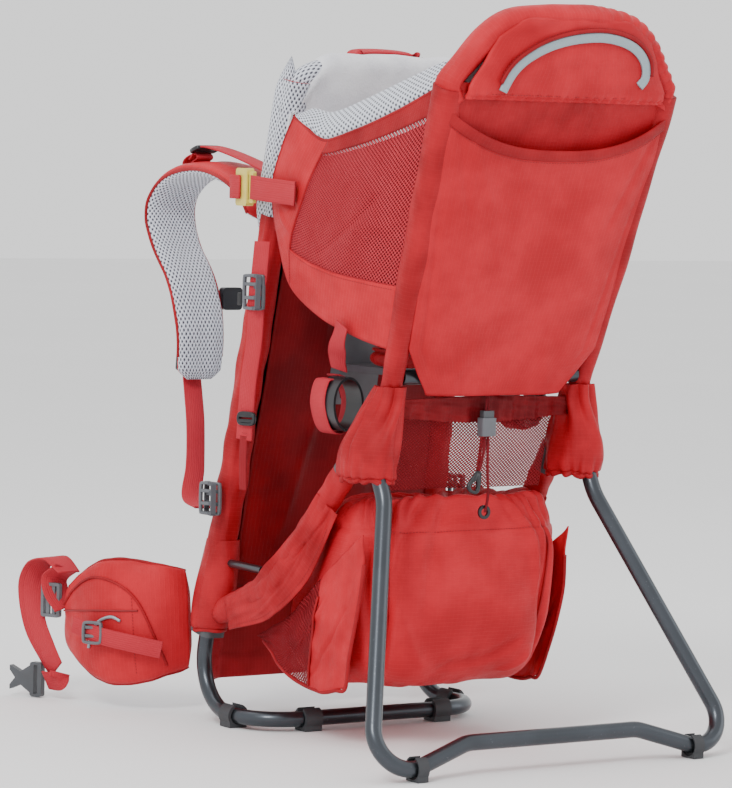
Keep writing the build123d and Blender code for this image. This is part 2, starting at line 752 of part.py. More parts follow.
STIRRUP_X, STIRRUP_Y, STIRRUP_Z = 112.0, -112.0, 340.0
stirrup_webs = []
for name, side in SIDES.items():
    with BuildPart() as stirrup:
        with BuildSketch(Plane.XZ.offset(-STIRRUP_Y - 14)):
            with Locations((side * STIRRUP_X, STIRRUP_Z)):
                Ellipse(18, 27)
                Ellipse(15.5, 24.5, mode=Mode.SUBTRACT)
        extrude(amount=28)
    keep(f"stirrup_{name}", stirrup)
    stirrup_webs.append(
        strip(
            [
                ((side * 138, -150, 418), (0, 1, -0.2)),
                ((side * 134, -138, 400), (0, 1, -0.3)),
                ((side * 124, -122, 385), (0, 1, -0.3)),
                ((side * 116, -114, 373), (0, 1, 0)),
            ],
            20,
        )
    )
keep("stirrup_webbing", join(*stirrup_webs))

# ---- storage bag, pockets, mesh and drawstring ----------------------------------------------
BAG_SECTIONS = [  # z, half width, front y, rear y
    (58, 98, 8, -150),
    (84, 110, 20, -182),
    (150, 116, -12, -192),
    (212, 116, -66, -190),
    (250, 108, -100, -176),
]
with BuildPart() as storage_bag:
    for z, half, front, rear in BAG_SECTIONS:
        with BuildSketch(Plane.XY.offset(z)):
            with Locations((0, (front + rear) / 2)):
                RectangleRounded(2 * half, front - rear, 26)
    loft(ruled=True)
keep("storage_bag", storage_bag)

SIDE_POCKET_X = 127.0
pocket_outline = [  # y, z
    (0, 96),
    (-40, 66),
    (-96, 52),
    (-140, 60),
    (-170, 150),
    (-176, 216),
    (-112, 172),
    (-50, 124),
]
side_pockets = []
for side in SIDES.values():
    with BuildPart() as side_pocket:
        with BuildSketch(Plane.YZ.offset(side * SIDE_POCKET_X)):
            with BuildLine():
                Polyline(*pocket_outline, close=True)
            make_face()
        extrude(amount=3, both=True)
    side_pockets.append(side_pocket)
keep("side_pockets", join(*side_pockets))

MESH_X = 86.0
with BuildPart() as seat_mesh:
    with BuildSketch(Plane((0, -166, 262), x_dir=(1, 0, 0), z_dir=(0, -1, -0.24))):
        with Locations((0, 44)):
            Rectangle(2 * MESH_X, 84)
    extrude(amount=3)
keep("rear_mesh_panel", seat_mesh)

GROMMET = Vector(4, -196, 236)
with BuildPart() as grommet:
    with BuildSketch(Plane(GROMMET, x_dir=(1, 0, 0), z_dir=(0, -1, 0))):
        Circle(7)
        Circle(3.8, mode=Mode.SUBTRACT)
    extrude(amount=2.5)
keep("drawstring_grommet", grommet)

CORD_R = 1.4
CORD_Y = -204.0
CORD_X = 1.7
CORD_TOP = 354.0
LOCK_Z = 324.0
LIMP = 0.45  # share of the shorter run that an arc takes up
cord_route = [
    (4, -198.5, 236),
    (5, -203.5, 251),
    (CORD_X, CORD_Y, 277),
    (CORD_X, CORD_Y - 0.2, CORD_TOP),
    (-CORD_X, CORD_Y - 0.2, CORD_TOP),
    (-CORD_X, CORD_Y, 306),
    (-6, CORD_Y - 3, 290),
    (-11, CORD_Y - 4, 278),
]


def arc_radii(route):
    """One radius for each corner of a cord: as large as its two runs allow."""
    points = [Vector(*p) for p in route]
    radii = []
    for before, corner, after in zip(points, points[1:], points[2:]):
        turn = radians((corner - before).get_angle(after - corner))
        shorter = min((corner - before).length, (after - corner).length)
        radii.append(LIMP * shorter / tan(turn / 2))
    return radii


cord_radii = arc_radii(cord_route)
print("cord radii", [round(r, 1) for r in cord_radii])
keep("drawstring_cord", bent_tube(cord_route, cord_radii, CORD_R, 0))

SLOT = (9.0, 5.0)
BUTTON = (13.0, 8.0)
with BuildPart() as cord_lock:
    with BuildSketch(Plane.XY.offset(LOCK_Z - 12)):
        with Locations((0, CORD_Y)):
            RectangleRounded(17, 12, 3)
            Rectangle(*SLOT, mode=Mode.SUBTRACT)
    extrude(amount=18)
    with BuildSketch(Plane.XY.offset(LOCK_Z - 3)):
        with Locations((0, CORD_Y)):
            RectangleRounded(BUTTON[0] + 0.6, BUTTON[1] + 0.6, 1.6)
    extrude(amount=20, mode=Mode.SUBTRACT)
keep("cord_lock_body", cord_lock)
with BuildPart() as cord_lock_button:
    with BuildSketch(Plane.XY.offset(LOCK_Z + 1)):
        with Locations((0, CORD_Y)):
            RectangleRounded(*BUTTON, 1.4)
            Rectangle(*SLOT, mode=Mode.SUBTRACT)
    extrude(amount=12)
keep("cord_lock_button", cord_lock_button)

with BuildPart() as cord_pull:
    with BuildSketch(Plane((-14.6, CORD_Y - 4, 268.6), x_dir=(0.38, 0, 0.92), z_dir=(0, -1, 0))):
        with BuildLine():
            Polyline((9, 2.4), (9, -2.4), (-9, -8), (-13, 0), (-9, 8), close=True)
        make_face()
        with Locations((-5.5, 0)):
            Circle(3.2, mode=Mode.SUBTRACT)
    extrude(amount=2, both=True)
keep("drawstring_pull", cord_pull)

# Soft gathered cuffs round the hinges, open above and below for the strut and the leg.
CUFF_WALL = 3.0
CUFF_SECTIONS = [  # z, centre x, centre y, half width, half depth
    (272, 126, -170, 32, 58),
    (305, 127, -181, 34, 54),
    (352, 120, -196, 27, 36),
]
pivot_sleeves = []
for side in SIDES.values():
    with BuildPart() as pivot_sleeve:
        for wall, mode in ((0, Mode.ADD), (CUFF_WALL, Mode.SUBTRACT)):
            for z, x, y, half_x, half_y in CUFF_SECTIONS:
                with BuildSketch(Plane.XY.offset(z)):
                    with Locations((side * x, y)):
                        Ellipse(half_x - wall, half_y - wall)
            loft(mode=mode)
    pivot_sleeves.append(pivot_sleeve)
keep("hinge_sleeves", join(*pivot_sleeves))

# Fabric sleeve over each diagonal strut, from the joint block to the hinge bracket.
strut_sleeves = []
SLEEVE_SHORT = 0.14  # share of the strut left bare below the bracket
for side in SIDES.values():
    low = strut_low + (strut_bend - strut_low) * 0.24
    high = strut_bend + (strut_knee - strut_bend) * (clamp_share - SLEEVE_SHORT)
    path = [Vector(side * abs(p.X), p.Y, p.Z) for p in (low, strut_bend, high)]
    strut_sleeves.append(bent_tube(path, [150], SLEEVE_R, TUBE_R + FIT_GAP))
keep("frame_sleeves", join(frame_sleeve, *strut_sleeves))

# ---- side straps and the side entry's buckles -----------------------------------------------
side_webs, side_locks, entry_straps, latches = [], [], [], []
for name, side in SIDES.items():
    side_webs.append(
        strip(
            [
                ((side * 140, -8, 496), (0.35 * side, -1, 0)),
                ((side * 144, -7, 446), (0.35 * side, -1, 0)),
                ((side * 146, -1, 360), (0.35 * side, -1, 0)),
                ((side * 147, 8, 296), (0.35 * side, -1, 0)),
            ],
            20,
            1.6,
        )
    )
    place = Plane((side * 148.5, -7, 446), x_dir=(side * 0.35, -1, 0), z_dir=(side, 0.35, 0.03))
    side_locks.append(ladderlock(place, STRAP_WEB, 36))
    entry_straps.append(
        strip(
            [
                ((side * 150, 0, 551), (0, 0, 1)),
                ((side * 151, -26, 549), (0, 0, 1)),
                ((side * 148.4, -62, 546), (0, 0, 1)),
                ((side * 145.9, -104, 543), (0, 0, 1)),
            ],
            24,
        )
    )
    entry_face = Plane((side * 145, 17, 551), x_dir=(0, 1, 0), z_dir=(side, 0.12, 0))
    with BuildPart() as latch:
        with BuildSketch(entry_face):
            with Locations((-12, 0)):
                RectangleRounded(10, 32, 2)
                Rectangle(4, 24, mode=Mode.SUBTRACT)
            with Locations((-1, 8), (-1, -8)):
                RectangleRounded(16, 5, 2)
        extrude(amount=1.8, both=True)
    latches.append(latch)
    with BuildPart() as housing:
        with BuildSketch(entry_face):
            with Locations((6, 0)):
                RectangleRounded(26, 38, 4)
            with Locations((14, 0)):
                RectangleRounded(4, 24, 1, mode=Mode.SUBTRACT)
        extrude(amount=4.2, both=True)
        with BuildSketch(entry_face):
            with Locations((-1, 0)):
                Rectangle(18, 25)
        extrude(amount=2.4, both=True, mode=Mode.SUBTRACT)
    keep(f"entry_buckle_{name}", housing)
keep("side_webbing", join(*side_webs, *lower_webs))
keep("side_ladderlocks", join(*side_locks, *lower_locks))
keep("entry_straps", join(*entry_straps))
keep("entry_latches", join(*latches))


for name, shape in pieces.items():
    export_step(shape, f"parts/{name}.step")

whole = Compound(list(pieces.values())).bounding_box()
print(len(pieces), "nodes, box", tuple(whole.min), tuple(whole.max))
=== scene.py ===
"""Looks of the framed child carrier: fabric, webbing, mesh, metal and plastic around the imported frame.

Lengths in this script are millimetres until mesh_piece() writes them in metres. -X is the wearer's left.
"""

import math

import bmesh
import bpy
import numpy as np
from mathutils import Matrix, Vector


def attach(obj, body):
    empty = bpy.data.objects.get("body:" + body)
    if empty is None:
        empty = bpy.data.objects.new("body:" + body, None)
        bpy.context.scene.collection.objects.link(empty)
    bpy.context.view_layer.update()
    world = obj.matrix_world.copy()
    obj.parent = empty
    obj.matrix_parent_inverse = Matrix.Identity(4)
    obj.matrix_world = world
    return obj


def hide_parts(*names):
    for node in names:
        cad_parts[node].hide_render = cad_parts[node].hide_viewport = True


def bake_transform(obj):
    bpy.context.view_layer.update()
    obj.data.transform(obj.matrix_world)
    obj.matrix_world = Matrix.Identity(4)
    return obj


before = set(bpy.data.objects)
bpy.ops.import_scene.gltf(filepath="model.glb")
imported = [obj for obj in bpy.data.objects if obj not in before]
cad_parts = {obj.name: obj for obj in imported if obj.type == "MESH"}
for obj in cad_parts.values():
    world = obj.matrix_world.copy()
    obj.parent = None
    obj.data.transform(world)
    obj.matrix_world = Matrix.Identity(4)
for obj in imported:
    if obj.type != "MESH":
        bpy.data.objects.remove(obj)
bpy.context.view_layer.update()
SIDES = {"left": -1, "right": 1}
MM = 0.001
TAU = 2 * math.pi


# ---- camera -------------------------------------------------------------------------------
AZIMUTH, ELEVATION, ROLL = math.radians(-34), math.radians(3.5), math.radians(1.25)
CAMERA_DISTANCE = 4.0
camera_target = Vector((0, 0.01, 0.34))
toward_camera = Vector(
    (
        math.sin(AZIMUTH) * math.cos(ELEVATION),
        -math.cos(AZIMUTH) * math.cos(ELEVATION),
        math.sin(ELEVATION),
    )
)
camera_data = bpy.data.cameras.new("camera")
camera_data.lens = 177.3
camera_data.sensor_width = 36
camera = bpy.data.objects.new("camera", camera_data)
bpy.context.collection.objects.link(camera)
camera.location = camera_target + toward_camera * CAMERA_DISTANCE
look = (-toward_camera).to_track_quat("-Z", "Y").to_matrix().to_4x4()
camera.matrix_world = Matrix.Translation(camera.location) @ look @ Matrix.Rotation(ROLL, 4, "Z")
bpy.context.scene.camera = camera


# ---- curves and surfaces ------------------------------------------------------------------
def resample(points, count, closed=False):
    """A Catmull-Rom curve through points, sampled count times at even parameter steps."""
    p = np.asarray(points, float)
    n = len(p)
    if n == 2 and not closed:
        t = np.linspace(0, 1, count)[:, None]
        return p[0] * (1 - t) + p[1] * t
    if closed:
        ext = np.concatenate([p[-1:], p, p[:2]])
        spans = n
    else:
        ext = np.concatenate([2 * p[:1] - p[1:2], p, 2 * p[-1:] - p[-2:-1]])
        spans = n - 1
    t = np.linspace(0, spans, count, endpoint=not closed)
    i = np.minimum(t.astype(int), spans - 1)
    f = (t - i).reshape((-1,) + (1,) * (p.ndim - 1))
    a, b, c, d = ext[i], ext[i + 1], ext[i + 2], ext[i + 3]
    return 0.5 * (
        2 * b + (c - a) * f + (2 * a - 5 * b + 4 * c - d) * f**2 + (3 * b - a - 3 * c + d) * f**3
    )


def even(points, count, closed=False):
    """The same curve sampled at even distances."""
    fine = resample(points, max(200, count * 4), closed)
    if closed:
        fine = np.concatenate([fine, fine[:1]])
    steps = np.linalg.norm(np.diff(fine, axis=0), axis=1)
    length = np.concatenate([[0], np.cumsum(steps)])
    want = np.linspace(0, length[-1], count, endpoint=not closed)
    return np.stack([np.interp(want, length, fine[:, k]) for k in range(fine.shape[1])], 1)


def unit(v):
    return v / np.maximum(np.linalg.norm(v, axis=-1, keepdims=True), 1e-9)


def grid_normals(g, closed_v=False):
    du = np.gradient(g, axis=0)
    if closed_v:
        dv = (np.roll(g, -1, 1) - np.roll(g, 1, 1)) / 2
    else:
        dv = np.gradient(g, axis=1)
    return unit(np.cross(du, dv))


def smoothstep(x):
    x = np.clip(x, 0, 1)
    return x * x * (3 - 2 * x)


def ridge(d, width):
    """A rounded ridge of height 1 at distance 0, gone at about three widths."""
    return np.exp(-((d / width) ** 2))


def param(g):
    """u along the first axis and v along the second, both 0 to 1."""
    nu, nv = g.shape[:2]
    return np.meshgrid(np.linspace(0, 1, nu), np.linspace(0, 1, nv), indexing="ij")


def crease(g, lines):
    """Ridges along lines (u0, v0, u1, v1, width, height) in a grid's own u and v, fading at their ends."""
    u, v = param(g)
    total = np.zeros_like(u)
    for u0, v0, u1, v1, width, height in lines:
        du, dv = u1 - u0, v1 - v0
        length = math.hypot(du, dv)
        along = ((u - u0) * du + (v - v0) * dv) / length**2
        away = ((u - u0) * dv - (v - v0) * du) / length
        fade = smoothstep((along + 0.12) / 0.3) * smoothstep((1.12 - along) / 0.3)
        total += height * fade * ridge(away, width)
    return total


def waves(u, v, seed, count, low, high, height):
    """Soft irregular ripples: a few sine waves with seeded directions."""
    r = np.random.default_rng(seed)
    total = np.zeros_like(u)
    for _ in range(count):
        turn, freq, phase = r.uniform(0, math.pi), r.uniform(low, high), r.uniform(0, 6.28)
        total += np.sin(TAU * freq * (u * math.cos(turn) + v * math.sin(turn)) + phase)
    return total * height / count**0.5


# ---- mesh pieces --------------------------------------------------------------------------
def mesh_piece(name, verts, faces, uvs, material):
    """Writes a mesh object in metres. A piece never takes the name of the CAD node it stands for."""
    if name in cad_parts:
        name += "_cloth"
    me = bpy.data.meshes.new(name)
    me.from_pydata([tuple(p) for p in np.asarray(verts) * MM], [], faces)
    layer = me.uv_layers.new(name="weave")
    loops = np.empty(len(me.loops), int)
    me.loops.foreach_get("vertex_index", loops)
    layer.data.foreach_set("uv", (np.asarray(uvs) * MM)[loops].ravel())
    me.polygons.foreach_set("use_smooth", [True] * len(me.polygons))
    me.materials.append(material)
    me.validate()
    shell = bmesh.new()
    shell.from_mesh(me)
    bmesh.ops.recalc_face_normals(shell, faces=shell.faces)
    shell.to_mesh(me)
    shell.free()
    ob = bpy.data.objects.new(name, me)
    bpy.context.collection.objects.link(ob)
    return ob


def grid_faces(nu, nv, closed_u=False, closed_v=False, start=0, flip=False):
    faces = []
    for i in range(nu if closed_u else nu - 1):
        for j in range(nv if closed_v else nv - 1):
            a, b = i * nv + j, ((i + 1) % nu) * nv + j
            c, d = ((i + 1) % nu) * nv + (j + 1) % nv, i * nv + (j + 1) % nv
            quad = [start + k for k in (a, b, c, d)]
            faces.append(tuple(reversed(quad)) if flip else tuple(quad))
    return faces


def grid_uv(g):
    """Distances along the grid's two directions, in millimetres."""
    du = np.linalg.norm(np.diff(g, axis=0), axis=2).mean(axis=1)
    dv = np.linalg.norm(np.diff(g, axis=1), axis=2).mean(axis=0)
    u = np.concatenate([[0], np.cumsum(du)])
    v = np.concatenate([[0], np.cumsum(dv)])
    uu, vv = np.meshgrid(u, v, indexing="ij")
    return np.stack([vv, uu], 2)


flats = {}


def flat_size(g):
    """Width, length and area of a cloth panel in metres, from its grid."""
    across = np.linalg.norm(np.diff(g, axis=0), axis=2).sum(axis=0).max()
    along = np.linalg.norm(np.diff(g, axis=1), axis=2).sum(axis=1).max()
    a, b = g[1:, 1:] - g[:-1, :-1], g[1:, :-1] - g[:-1, 1:]
    area = np.linalg.norm(np.cross(a, b), axis=2).sum() / 2
    return across * MM, along * MM, area * MM**2


def sheet(name, g, material, thick=1.2, crown=0.0, edge=0.12, bump=None, inner=1.0, power=0.5):
    """A closed cloth panel on grid g. crown swells its outer face in the middle, bump moves both faces."""
    n = grid_normals(g)
    u, v = param(g)
    rim = np.minimum(np.minimum(u, 1 - u), np.minimum(v, 1 - v))
    swell = np.clip(rim / edge, 0, 1)
    swell = (1 - (1 - swell) ** 2) ** power
    if bump is not None:
        g = g + n * bump[..., None]
    front = g + n * (thick / 2 + crown * swell)[..., None]
    back = g - n * (thick / 2 + crown * swell * (inner - 1))[..., None]
    nu, nv = g.shape[:2]
    count = nu * nv
    verts = np.concatenate([front.reshape(-1, 3), back.reshape(-1, 3)])
    faces = grid_faces(nu, nv) + grid_faces(nu, nv, start=count, flip=True)
    border = [i * nv for i in range(nu)] + [(nu - 1) * nv + j for j in range(1, nv)]
    border += [i * nv + nv - 1 for i in range(nu - 2, -1, -1)] + [j for j in range(nv - 2, 0, -1)]
    faces += [(a, a + count, b + count, b) for a, b in zip(border, border[1:] + border[:1])]
    uv = grid_uv(g).reshape(-1, 2)
    ob = mesh_piece(name, verts, faces, np.concatenate([uv, uv]), material)
    flats[ob.name] = flat_size(g)
    return ob


def ring_loft(name, g, material):
    """A closed tube through rings g[station, around], with a fan of faces over each end."""
    nu, nv = g.shape[:2]
    verts = list(g.reshape(-1, 3))
    faces = grid_faces(nu, nv, closed_v=True)
    uv = list(grid_uv(g).reshape(-1, 2))
    for i, flip in ((0, False), (nu - 1, True)):
        centre = len(verts)
        verts.append(g[i].mean(axis=0))
        uv.append(np.zeros(2))
        for j in range(nv):
            tri = (i * nv + j, i * nv + (j + 1) % nv, centre)
            faces.append(tri[::-1] if flip else tri)
    return mesh_piece(name, verts, faces, uv, material)


def frames_along(path, side_hint):
    """Tangent, sideways and upward unit vectors along a path, sideways kept close to side_hint."""
    t = unit(np.gradient(path, axis=0))
    hint = np.broadcast_to(np.asarray(side_hint, float), path.shape)
    s = unit(hint - (hint * t).sum(1, keepdims=True) * t)
    return t, s, np.cross(t, s)


def tube_rings(path, side_hint, half_w, half_t, nv=24, shape=2.0):
    """Superellipse rings along path: half width along side_hint, half thickness across it."""
    _, s, n = frames_along(path, side_hint)
    a = np.linspace(0, TAU, nv, endpoint=False)
    ca, sa = np.cos(a), np.sin(a)
    ca = np.sign(ca) * np.abs(ca) ** (2 / shape)
    sa = np.sign(sa) * np.abs(sa) ** (2 / shape)
    w = np.broadcast_to(np.asarray(half_w, float), (len(path),))
    h = np.broadcast_to(np.asarray(half_t, float), (len(path),))
    return (
        path[:, None]
        + s[:, None] * (w[:, None] * ca)[..., None]
        + n[:, None] * (h[:, None] * sa)[..., None]
    )


def ribbon(name, points, across, width, material, thick=1.8, count=60, edge=0.7):
    """Flat webbing with rounded edges along points; across is one direction or one for each point."""
    path = even(points, count)
    hints = np.asarray(across, float)
    if hints.ndim == 2:
        fine = resample(points, 400)
        lengths = np.concatenate([[0], np.cumsum(np.linalg.norm(np.diff(fine, axis=0), axis=1))])
        hint_fine = resample(hints, 400)
        want = np.linspace(0, lengths[-1], count)
        hints = np.stack([np.interp(want, lengths, hint_fine[:, k]) for k in range(3)], 1)
    _, s, n = frames_along(path, hints)
    w, h = width / 2, thick / 2
    profile = [(-w, -h * 0.5), (-w + edge, -h), (0, -h), (w - edge, -h), (w, -h * 0.5)]
    profile += [(w, h * 0.5), (w - edge, h), (0, h), (-w + edge, h), (-w, h * 0.5)]
    g = np.stack([path + s * a + n * b for a, b in profile], 1)
    ob = ring_loft(name, g, material)
    along = np.concatenate([[0], np.cumsum(np.linalg.norm(np.diff(path, axis=0), axis=1))])
    uv = np.zeros((len(ob.data.vertices), 2))
    for i in range(count):
        for j, (a, b) in enumerate(profile):
            uv[i * len(profile) + j] = (a, along[i])
    loops = np.empty(len(ob.data.loops), int)
    ob.data.loops.foreach_get("vertex_index", loops)
    ob.data.uv_layers["weave"].data.foreach_set("uv", (uv * MM)[loops].ravel())
    return ob


def merge(name, obs):
    """Joins mesh objects into one piece."""
    for o in bpy.context.selected_objects:
        o.select_set(False)
    for o in obs:
        o.select_set(True)
    bpy.context.view_layer.objects.active = obs[0]
    bpy.ops.object.join()
    obs[0].name = name
    obs[0].data.name = name
    return obs[0]


def cord_line(name, points, radius, material, nv=10, count=120, closed=False):
    """A thin round bead such as piping or thread, through points."""
    path = even(points, count, closed)
    hint = np.array([0.31, 0.52, 0.8])
    g = tube_rings(path, hint, radius, radius, nv)
    if closed:
        return mesh_piece(
            name, g.reshape(-1, 3), grid_faces(count, nv, True, True), grid_uv(g).reshape(-1, 2), material
        )
    return ring_loft(name, g, material)


def stitch_row(name, points, material, lift=(0, 0, 0), pitch=3.2, length=2.1, radius=0.32):
    """A row of short raised stitches along points."""
    total = np.linalg.norm(np.diff(even(points, 80), axis=0), axis=1).sum()
    count = max(3, int(total / pitch))
    path = even(points, count * 6)
    verts, faces, uvs = [], [], []
    ring = 6
    t = unit(np.gradient(path, axis=0))
    hint = np.array([0.31, 0.52, 0.8])
    s = unit(np.cross(t, hint))
    n = np.cross(t, s)
    lift = np.asarray(lift, float)
    for k in range(count):
        mid = path[k * 6 + 3]
        for f, r in ((-0.5, 0.35), (-0.3, 1.0), (0.3, 1.0), (0.5, 0.35)):
            centre = mid + t[k * 6 + 3] * f * length + lift
            for j in range(ring):
                a = TAU * j / ring
                verts.append(
                    centre + (s[k * 6 + 3] * math.cos(a) + n[k * 6 + 3] * math.sin(a)) * radius * r
                )
                uvs.append((0, 0))
        faces += grid_faces(4, ring, closed_v=True, start=k * 4 * ring)
        base = k * 4 * ring
        faces.append(tuple(base + j for j in range(ring)))
        faces.append(tuple(base + 3 * ring + j for j in range(ring - 1, -1, -1)))
    return mesh_piece(name, verts, faces, uvs, material)


def mirror(g):
    """The same grid on the other side, with its outside still outside."""
    return (g * [-1, 1, 1])[::-1]


def on_side(g, side):
    return g if side < 0 else mirror(g)


def flip(points, side):
    """Points given for the left side, moved to this side."""
    return np.asarray(points, float) * [-side, 1, 1]


def sided(points, side):
    """Points given for the right side, moved to this side."""
    return [(side * x, y, z) for x, y, z in points]


def once(side, *nodes):
    """The CAD nodes that a left piece stands for. They hold both sides, so the right one names none."""
    return nodes if side < 0 else ()


def coons(bottom, top, front, rear, nu, nv):
    """A grid filling four boundary curves. u runs from front to rear and v from bottom to top."""
    b, t = even(bottom, nu), even(top, nu)
    f, r = even(front, nv), even(rear, nv)
    u = np.linspace(0, 1, nu)[:, None, None]
    v = np.linspace(0, 1, nv)[None, :, None]
    ruled = b[:, None] * (1 - v) + t[:, None] * v + f[None] * (1 - u) + r[None] * u
    corners = (1 - u) * ((1 - v) * b[0] + v * t[0]) + u * ((1 - v) * b[-1] + v * t[-1])
    return ruled - corners


def paint_faces(ob, material, test):
    """Gives a second material to the faces for which test(face index) holds."""
    ob.data.materials.append(material)
    index = len(ob.data.materials) - 1
    for face in ob.data.polygons:
        if test(face.index):
            face.material_index = index


def put(ob, body, *nodes, slot="shell_fabric", fill=None, flat=False, held="stretched"):
    """Says what a piece rides on and which CAD nodes it stands for, by attaching it and hiding them. Its
    fill and flat, meant to say whether it is a pad or a sheet, are not used.
    """
    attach(ob, body)
    if nodes:
        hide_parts(*nodes)
    return ob


def put_web(body, name, points, across, width, material, thick, count, nodes=()):
    """A run of webbing that rides on one body."""
    return put(ribbon(name, points, across, width, material, thick, count), body, *nodes, slot="webbing")


def puff(ob, cap, voxel=5.0, pressure=4.0):
    """Swells a pad with Blender's cloth, moving no point further than cap millimetres."""
    for o in bpy.context.selected_objects:
        o.select_set(False)
    bpy.context.view_layer.objects.active = ob
    ob.select_set(True)
    remesh = ob.modifiers.new("remesh", "REMESH")
    remesh.mode = "VOXEL"
    remesh.voxel_size = voxel * MM
    remesh.use_smooth_shade = True
    bpy.ops.object.modifier_apply(modifier=remesh.name)
    count = len(ob.data.vertices)
    start = np.empty(count * 3)
    ob.data.vertices.foreach_get("co", start)
    cloth = ob.modifiers.new("cloth", "CLOTH")
    cloth.settings.use_pressure = True
    cloth.settings.uniform_pressure_force = pressure
    cloth.settings.effector_weights.gravity = 0
    scene = bpy.context.scene
    for f in range(1, 21):
        scene.frame_set(f)
    solved = ob.evaluated_get(bpy.context.evaluated_depsgraph_get())
    swollen = np.empty(count * 3)
    solved.data.vertices.foreach_get("co", swollen)
    ob.modifiers.remove(cloth)
    scene.frame_set(1)
    move = (swollen - start).reshape(-1, 3)
    size = np.linalg.norm(move, axis=1, keepdims=True)
    move *= np.minimum(1, cap * MM / np.maximum(size, 1e-9))
    ob.data.vertices.foreach_set("co", start + move.ravel())
    smooth = ob.modifiers.new("smooth", "SUBSURF")
    smooth.levels = smooth.render_levels = 1
    bpy.ops.object.modifier_apply(modifier=smooth.name)
    ob.data.polygons.foreach_set("use_smooth", [True] * len(ob.data.polygons))
    return ob


# ---- materials ----------------------------------------------------------------------------
class Field:
    """A number in a node tree that adds, multiplies and so on by making Math nodes."""

    def __init__(self, tree, socket):
        self.tree, self.socket = tree, socket

    def math(self, operation, *others, clamp=False):
        node = self.tree.nodes.new("ShaderNodeMath")
        node.operation = operation
        node.use_clamp = clamp
        for slot, value in zip(node.inputs, (self, *others)):
            if isinstance(value, Field):
                self.tree.links.new(value.socket, slot)
            else:
                slot.default_value = value
        return Field(self.tree, node.outputs[0])

    def __add__(self, other):
        return self.math("ADD", other)

    def __sub__(self, other):
        return self.math("SUBTRACT", other)

    def __mul__(self, other):
        return self.math("MULTIPLY", other)

    def fract(self):
        return self.math("FRACT")

    def sin(self):
        return self.math("SINE")

    def abs(self):
        return self.math("ABSOLUTE")

    def power(self, other):
        return self.math("POWER", other)

    def smaller(self, other):
        return self.math("MINIMUM", other)

    def step(self, low, high):
        """0 below low, 1 above high, smooth between."""
        node = self.tree.nodes.new("ShaderNodeMapRange")
        node.interpolation_type = "SMOOTHSTEP"
        node.inputs["From Min"].default_value = low
        node.inputs["From Max"].default_value = high
        self.tree.links.new(self.socket, node.inputs["Value"])
        return Field(self.tree, node.outputs["Result"])


class Paint:
    """A material under construction: its coordinates, patterns and shader."""

    def __init__(self, name, roughness=0.6, metallic=0.0, sheen=0.0, specular=0.5, coat=0.0):
        self.mat = bpy.data.materials.new(name)
        self.mat.use_nodes = True
        self.tree = self.mat.node_tree
        self.shader = self.tree.nodes["Principled BSDF"]
        self.shader.inputs["Metallic"].default_value = metallic
        self.shader.inputs["Roughness"].default_value = roughness
        self.shader.inputs["Sheen Weight"].default_value = sheen
        self.shader.inputs["Specular IOR Level"].default_value = specular
        self.shader.inputs["Coat Weight"].default_value = coat
        self.bump_link = None

    def coords(self, kind="UV"):
        """The piece's weave coordinates, or its own object coordinates, in millimetres."""
        coord = self.tree.nodes.new("ShaderNodeTexCoord")
        scale = self.tree.nodes.new("ShaderNodeVectorMath")
        scale.operation = "SCALE"
        scale.inputs["Scale"].default_value = 1000
        self.tree.links.new(coord.outputs[kind], scale.inputs[0])
        split = self.tree.nodes.new("ShaderNodeSeparateXYZ")
        self.tree.links.new(scale.outputs[0], split.inputs[0])
        return [Field(self.tree, s) for s in split.outputs]

    def noise(self, size, detail=2.0, kind="Object"):
        """Noise with features about size millimetres across, from 0 to 1."""
        coord = self.tree.nodes.new("ShaderNodeTexCoord")
        node = self.tree.nodes.new("ShaderNodeTexNoise")
        node.inputs["Scale"].default_value = 1000 / size
        node.inputs["Detail"].default_value = detail
        self.tree.links.new(coord.outputs[kind], node.inputs["Vector"])
        return Field(self.tree, node.outputs[0])

    def mix(self, factor, low, high):
        """A colour between low and high, each a colour tuple or an earlier mix."""
        node = self.tree.nodes.new("ShaderNodeMix")
        node.data_type = "RGBA"
        self.tree.links.new(factor.socket, node.inputs["Factor"])
        for slot, value in ((node.inputs[6], low), (node.inputs[7], high)):
            if isinstance(value, tuple):
                slot.default_value = (*value, 1)
            else:
                self.tree.links.new(value, slot)
        return node.outputs[2]

    def colour(self, value):
        if isinstance(value, tuple):
            self.shader.inputs["Base Color"].default_value = (*value, 1)
        else:
            self.tree.links.new(value, self.shader.inputs["Base Color"])
        return self

    def rough(self, value):
        self.tree.links.new(value.socket, self.shader.inputs["Roughness"])
        return self

    def alpha(self, value):
        self.tree.links.new(value.socket, self.shader.inputs["Alpha"])
        return self

    def bump(self, height, distance, strength=1.0):
        """Stacks a bump of height times distance millimetres on those before it."""
        node = self.tree.nodes.new("ShaderNodeBump")
        node.inputs["Strength"].default_value = strength
        node.inputs["Distance"].default_value = distance * MM
        self.tree.links.new(height.socket, node.inputs["Height"])
        if self.bump_link:
            self.tree.links.new(self.bump_link, node.inputs["Normal"])
        self.bump_link = node.outputs[0]
        self.tree.links.new(self.bump_link, self.shader.inputs["Normal"])
        return self


def staggered_dots(x, y, pitch_x, pitch_y, radius):
    """Distance to the nearest of staggered oval dots, as a share of radius (radius in pitches)."""
    sx, sy = x * (1 / pitch_x), y * (1 / pitch_y)
    found = None
    for shift in (0.0, 0.5):
        fx = (sx + shift).fract() - 0.5
        fy = (sy + shift).fract() - 0.5
        dist = (fx.power(2) + fy.power(2)).power(0.5) * (1 / radius)
        found = dist if found is None else found.smaller(dist)
    return found


